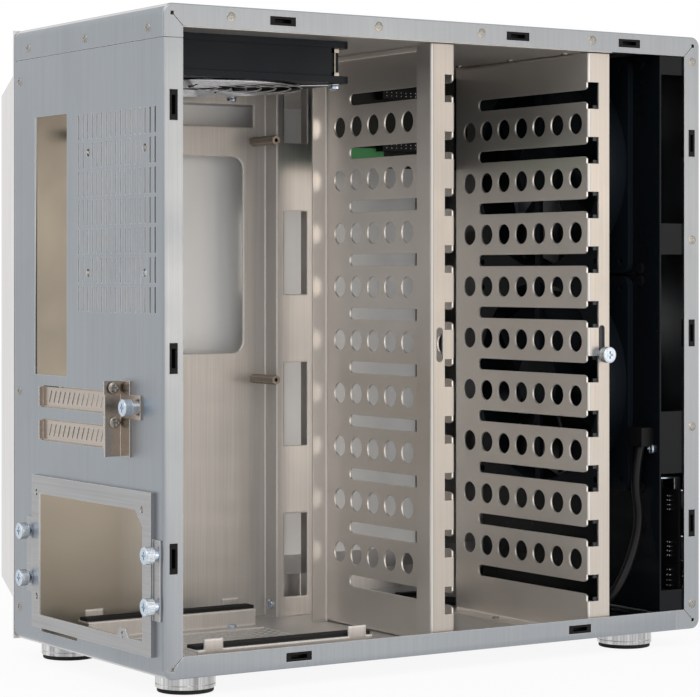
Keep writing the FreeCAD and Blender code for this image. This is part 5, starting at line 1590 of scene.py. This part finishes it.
@dataclass
class FrontLead:
    """Lead of the front ports, from its clamp on the fan bracket to its plug on the case floor."""

    diameter: float = 6.0
    length: float = 349.8
    route: Sequence[Point] = (
        (-84, -160, 119.5), (-84, -154, 97), (-84, -160, 71), (-84, -150.5, 42), (-82, -136, 20),
        (-62, -127, 5.2), (-14, -135, 4.8), (44, -132, 4.8), (84, -105, 4.8), (79, -63, 4.8), (79, -35, 4.8))

    def build(self, palette: Palette) -> None:
        """Args:
            palette: Finishes of the case.
        """
        line = bpy.data.curves.new("front_lead_cord", "CURVE")
        line.dimensions = "3D"
        line.bevel_depth = self.diameter / 2 * MM
        line.bevel_resolution = 6
        line.use_fill_caps = True
        spline = line.splines.new("NURBS")
        spline.points.add(len(self.route) - 1)
        for point, place in zip(spline.points, self.route):
            point.co = (*at(*place), 1.0)
        spline.order_u = 3
        spline.use_endpoint_u = True
        spline.resolution_u = 12
        lead = bpy.data.objects.new("front_lead_cord", line)
        show(lead)
        palette.dress(lead, FINISHES[Slot.JACKET])
        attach(lead, Body.CASE.value)
        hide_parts("front_lead")
        log.info("built %s", lead.name)


@dataclass(frozen=True)
class Softbox:
    """One square softbox, placed in case millimetres."""

    name: str
    place: Point
    target: Point
    side: float
    power: float
    colour: Colour = (1.0, 1.0, 1.0)

    def hang(self) -> None:
        """Hangs the softbox so that it faces its target."""
        light = bpy.data.lights.new(self.name, "AREA")
        light.shape = "SQUARE"
        light.size, light.energy, light.color = self.side, self.power, self.colour
        lamp = bpy.data.objects.new(self.name, light)
        show(lamp)
        place, target = at(*self.place), at(*self.target)
        lamp.location = place
        lamp.rotation_euler = (target - place).to_track_quat("-Z", "Y").to_euler()


@dataclass
class Studio:
    """Pale floor, soft light and the photograph's camera."""

    camera_place: Point = (-1336.1, 866.7, 228.7)
    view_direction: Point = (0.8415, -0.5402, 0.0)
    focal_pixels: float = 2492.14
    horizon_row: float = 275.14
    sensor: float = 36.0
    clip_end: float = 50.0
    floor_half: float = 6.0
    floor_tone: Colour = (0.86, 0.86, 0.86)
    floor_shown: float = 0.9
    background: Colour = (1.0, 1.0, 1.0)
    ambient: Colour = (0.95, 0.97, 1.0)
    ambient_strength: float = 0.85
    softboxes: Sequence[Softbox] = (
        Softbox("key_softbox", (-1000, 650, 1300), (0, 0, 150), 1.3, 8.0),
        Softbox("side_softbox", (-1600, -600, 120), (0, 0, 190), 0.7, 2.9, (1.0, 0.85, 0.69)),
        Softbox("front_softbox", (-1500, -1300, 120), (0, -100, 190), 0.9, 1.8, (1.0, 0.82, 0.62)),
        Softbox("rear_softbox", (500, 1500, 900), (0, 100, 200), 1.0, 2.0, (0.90, 0.95, 1.0)))

    def build(self) -> None:
        """Sets up camera, floor, world and lamps."""
        bpy.context.scene.view_settings.view_transform = "Standard"
        self.build_camera()
        self.build_floor()
        self.build_world()
        for softbox in self.softboxes:
            softbox.hang()

    def build_camera(self) -> None:
        """Places the camera that the photograph was fitted with."""
        width, height = IMAGE_SIZE
        lens = bpy.data.cameras.new("photo_camera")
        lens.sensor_fit = "HORIZONTAL"
        lens.sensor_width = self.sensor
        lens.lens = self.focal_pixels / width * self.sensor
        lens.shift_y = (self.horizon_row - height / 2) / width
        lens.clip_end = self.clip_end
        camera = bpy.data.objects.new("photo_camera", lens)
        show(camera)
        camera.location = at(*self.camera_place)
        camera.rotation_euler = Vector(self.view_direction).to_track_quat("-Z", "Y").to_euler()
        bpy.context.scene.camera = camera

    def build_floor(self) -> None:
        """Lays a pale floor, nearly white to the camera and to glossy metal, with a soft shadow."""
        floor = add_start("studio_floor", bpy.ops.mesh.primitive_plane_add, size=2 * self.floor_half)
        made = bpy.data.materials.new("studio_floor")
        made.use_nodes = True
        sheet = NodeSheet(made.node_tree)
        matt = sheet.add("BsdfDiffuse", {"Color": (*self.floor_tone, 1.0)})
        glow = sheet.add("Emission", {"Color": (*self.background, 1.0), "Strength": 1.0})
        share = sheet.add("Math", {1: self.floor_shown}, operation="MULTIPLY")
        mixed, output = sheet.add("MixShader"), sheet.add("OutputMaterial")
        sheet.link((self.shown_rays(sheet), 0, share, 0), (share, 0, mixed, 0), (matt, 0, mixed, 1),
                   (glow, 0, mixed, 2), (mixed, 0, output, "Surface"))
        floor.data.materials.append(made)

    @staticmethod
    def shown_rays(sheet: NodeSheet) -> Node:
        """Adds the test for the rays that show the white background.

        Args:
            sheet: Node sheet of the floor or the world.

        Returns:
            Node that gives 1 for camera, glossy and transmission rays.
        """
        path = sheet.add("LightPath")
        seen, shown = (sheet.add("Math", operation="MAXIMUM") for _ in range(2))
        sheet.link((path, "Is Camera Ray", seen, 0), (path, "Is Glossy Ray", seen, 1), (seen, 0, shown, 0),
                   (path, "Is Transmission Ray", shown, 1))
        return shown

    def build_world(self) -> None:
        """Lights the case softly from all round, and shows white to the camera and to glossy metal."""
        world = bpy.data.worlds.new("studio_world")
        bpy.context.scene.world = world
        world.use_nodes = True
        sheet = NodeSheet(world.node_tree)
        soft = sheet.add("Background", {"Color": (*self.ambient, 1.0), "Strength": self.ambient_strength})
        white = sheet.add("Background", {"Color": (*self.background, 1.0), "Strength": 1.0})
        mixed, output = sheet.add("MixShader"), sheet.add("OutputWorld")
        sheet.link((self.shown_rays(sheet), 0, mixed, 0), (soft, 0, mixed, 1), (white, 0, mixed, 2),
                   (mixed, 0, output, "Surface"))


# Faces that screws sit on, and the middles of the screws on them
SIDE_FACE, REAR_FACE, BRACKET_FACE = -98.5, 197.1, -165.0
SUPPLY_SEATS = [(x, 198.3, z) for x in (-92.2, 72.0) for z in (41.5, 70.5)]
FLANGE_SCREWS = [((SIDE_FACE, y, 376.6), LEFT) for y in (153.1, 52.0, -23.3, -109.2)]
FLANGE_SCREWS += [((SIDE_FACE, -190.9, z), LEFT) for z in (366.7, 251.5, 130.8, 16.2)]
SEAM_SCREWS = [((x, REAR_FACE, 370.0), REAR) for x in (78.2, 0.0, -79.2)]
SEAM_SCREWS += [((91.0, REAR_FACE, z), REAR) for z in (349.8, 156.2, 20.8)]
PAN_SCREWS = [((-48.7, 203.0, 163.5), LEFT), ((-48.7, 202.3, 143.4), LEFT)]
BRIGHT_SCREWS = [((x, BRACKET_FACE, 116.8), REAR) for x in (-89.3, 89.3)]
BRIGHT_SCREWS += [((89.0, 14.6, 9.6), REAR), ((52.7, 65.5, 2.7), UP), ((52.7, 150.0, 2.7), UP)]
BRIGHT_SCREWS += [((-89.0, y, 2.7), UP) for y in (125.2, 77.6)]
BRIGHT_SCREWS += [((x, y, 342.4), DOWN) for x in (-62.25, 62.25) for y in (60.15, 184.65)]
DARK_SCREWS = [((x, BRACKET_FACE, z), REAR) for x in (-78.0, 78.0) for z in (91.0, 225.0, 233.0, 366.0)]
RIVETS = [((x, y, 2.7), UP) for x in (-60.0, -6.3, 46.7) for y in (-101.0, -13.0)]
RIVETS += [((x, -103.0, 369.5), DOWN) for x in (38.0, -20.0, -78.0)]


def sub_assemblies() -> list[SubAssembly]:
    """Lists every sub-assembly that is modelled here.

    Returns:
        The sub-assemblies, in the order in which they are built.
    """
    return [
        PerforatedShell(),
        CageWall("cage_rear_wall", -6.0, 1, 17.7, lip=16.0),
        CageWall("cage_front_wall", -108.6, -1, 16.4, LIT_FRONT_CAGE_SHEET, far_flange=3.0, slot_end=27.4,
                 hole_first=13.7, hole_pitch=19.28),
        Thumbscrews("supply_thumbscrews", "psu_thumbscrews", SUPPLY_SEATS, REAR),
        Thumbscrews("slot_thumbscrew", "clamp_thumbscrew", [(-65.7, 198.3, 152.7)], REAR),
        Thumbscrews("lock_thumbscrew", "lock_knob", [(-95.8, -119.0, 178.4)], LEFT, Body.LOCK),
        FingerGuard(),
        Fan("top_fan", "top_fan_frame", "top_fan_rotor", Body.TOP_ROTOR, (0.0, 122.4, 369.5), DOWN,
            open_corner=13.0),
        Fan("upper_fan", "front_fan_upper_frame", "front_fan_upper_rotor", Body.UPPER_ROTOR,
            (0.0, -140.0, 300.0), FRONT),
        Fan("lower_fan", "front_fan_lower_frame", "front_fan_lower_rotor", Body.LOWER_ROTOR,
            (0.0, -140.0, 158.0), FRONT),
        FanStuds(),
        Feet(),
        Screws("flange_screws", FLANGE_SCREWS, rise=0.1, dome=0.15, finish=SCREW_STEEL),
        Screws("seam_screws", SEAM_SCREWS, rise=0.2, dome=0.25, finish=SCREW_STEEL),
        Screws("slot_screws", PAN_SCREWS, 3.4, 1.2, 0.6, finish=SCREW_STEEL),
        Screws("bright_screws", BRIGHT_SCREWS, 3.2, 1.2, 0.6),
        Screws("dark_screws", DARK_SCREWS, 3.6, 1.0, 0.4, Slot.BLACK_PLASTIC),
        Screws("cage_rivets", RIVETS, 2.4, 0.6, 0.5, finish=SCREW_STEEL),
        Pins("port_pins", [(-84.6, -184.0, z) for z in (46.5, 76.5)], (2.2, 0.0, 0.0), 2,
             (0.0, 0.0, 2.9), 4, (0.8, 1.6, 0.9)),
        Pins("jack_pins", [(-85.0, -184.0, 27.0)], (3.0, 0.0, 0.0), 2, (0.0, 0.0, 3.4), 4, (0.8, 1.6, 0.9)),
        Pins("drive_contacts", [(42.8, -78.0, z) for z in (313.2, 347.8)], (0.0, 3.81, 0.0), 9,
             (0.0, 0.0, 2.2), 2, (0.8, 0.6, 0.7)),
        FrontLead(),
    ]


def main() -> None:
    """Builds the case's looks, then the studio round it."""
    logging.basicConfig(level=logging.INFO, format="%(message)s")
    palette = Palette(Effects())
    palette.dress_solids()
    for assembly in sub_assemblies():
        assembly.build(palette)
    Studio().build()


if __name__ == "__main__":
    main()
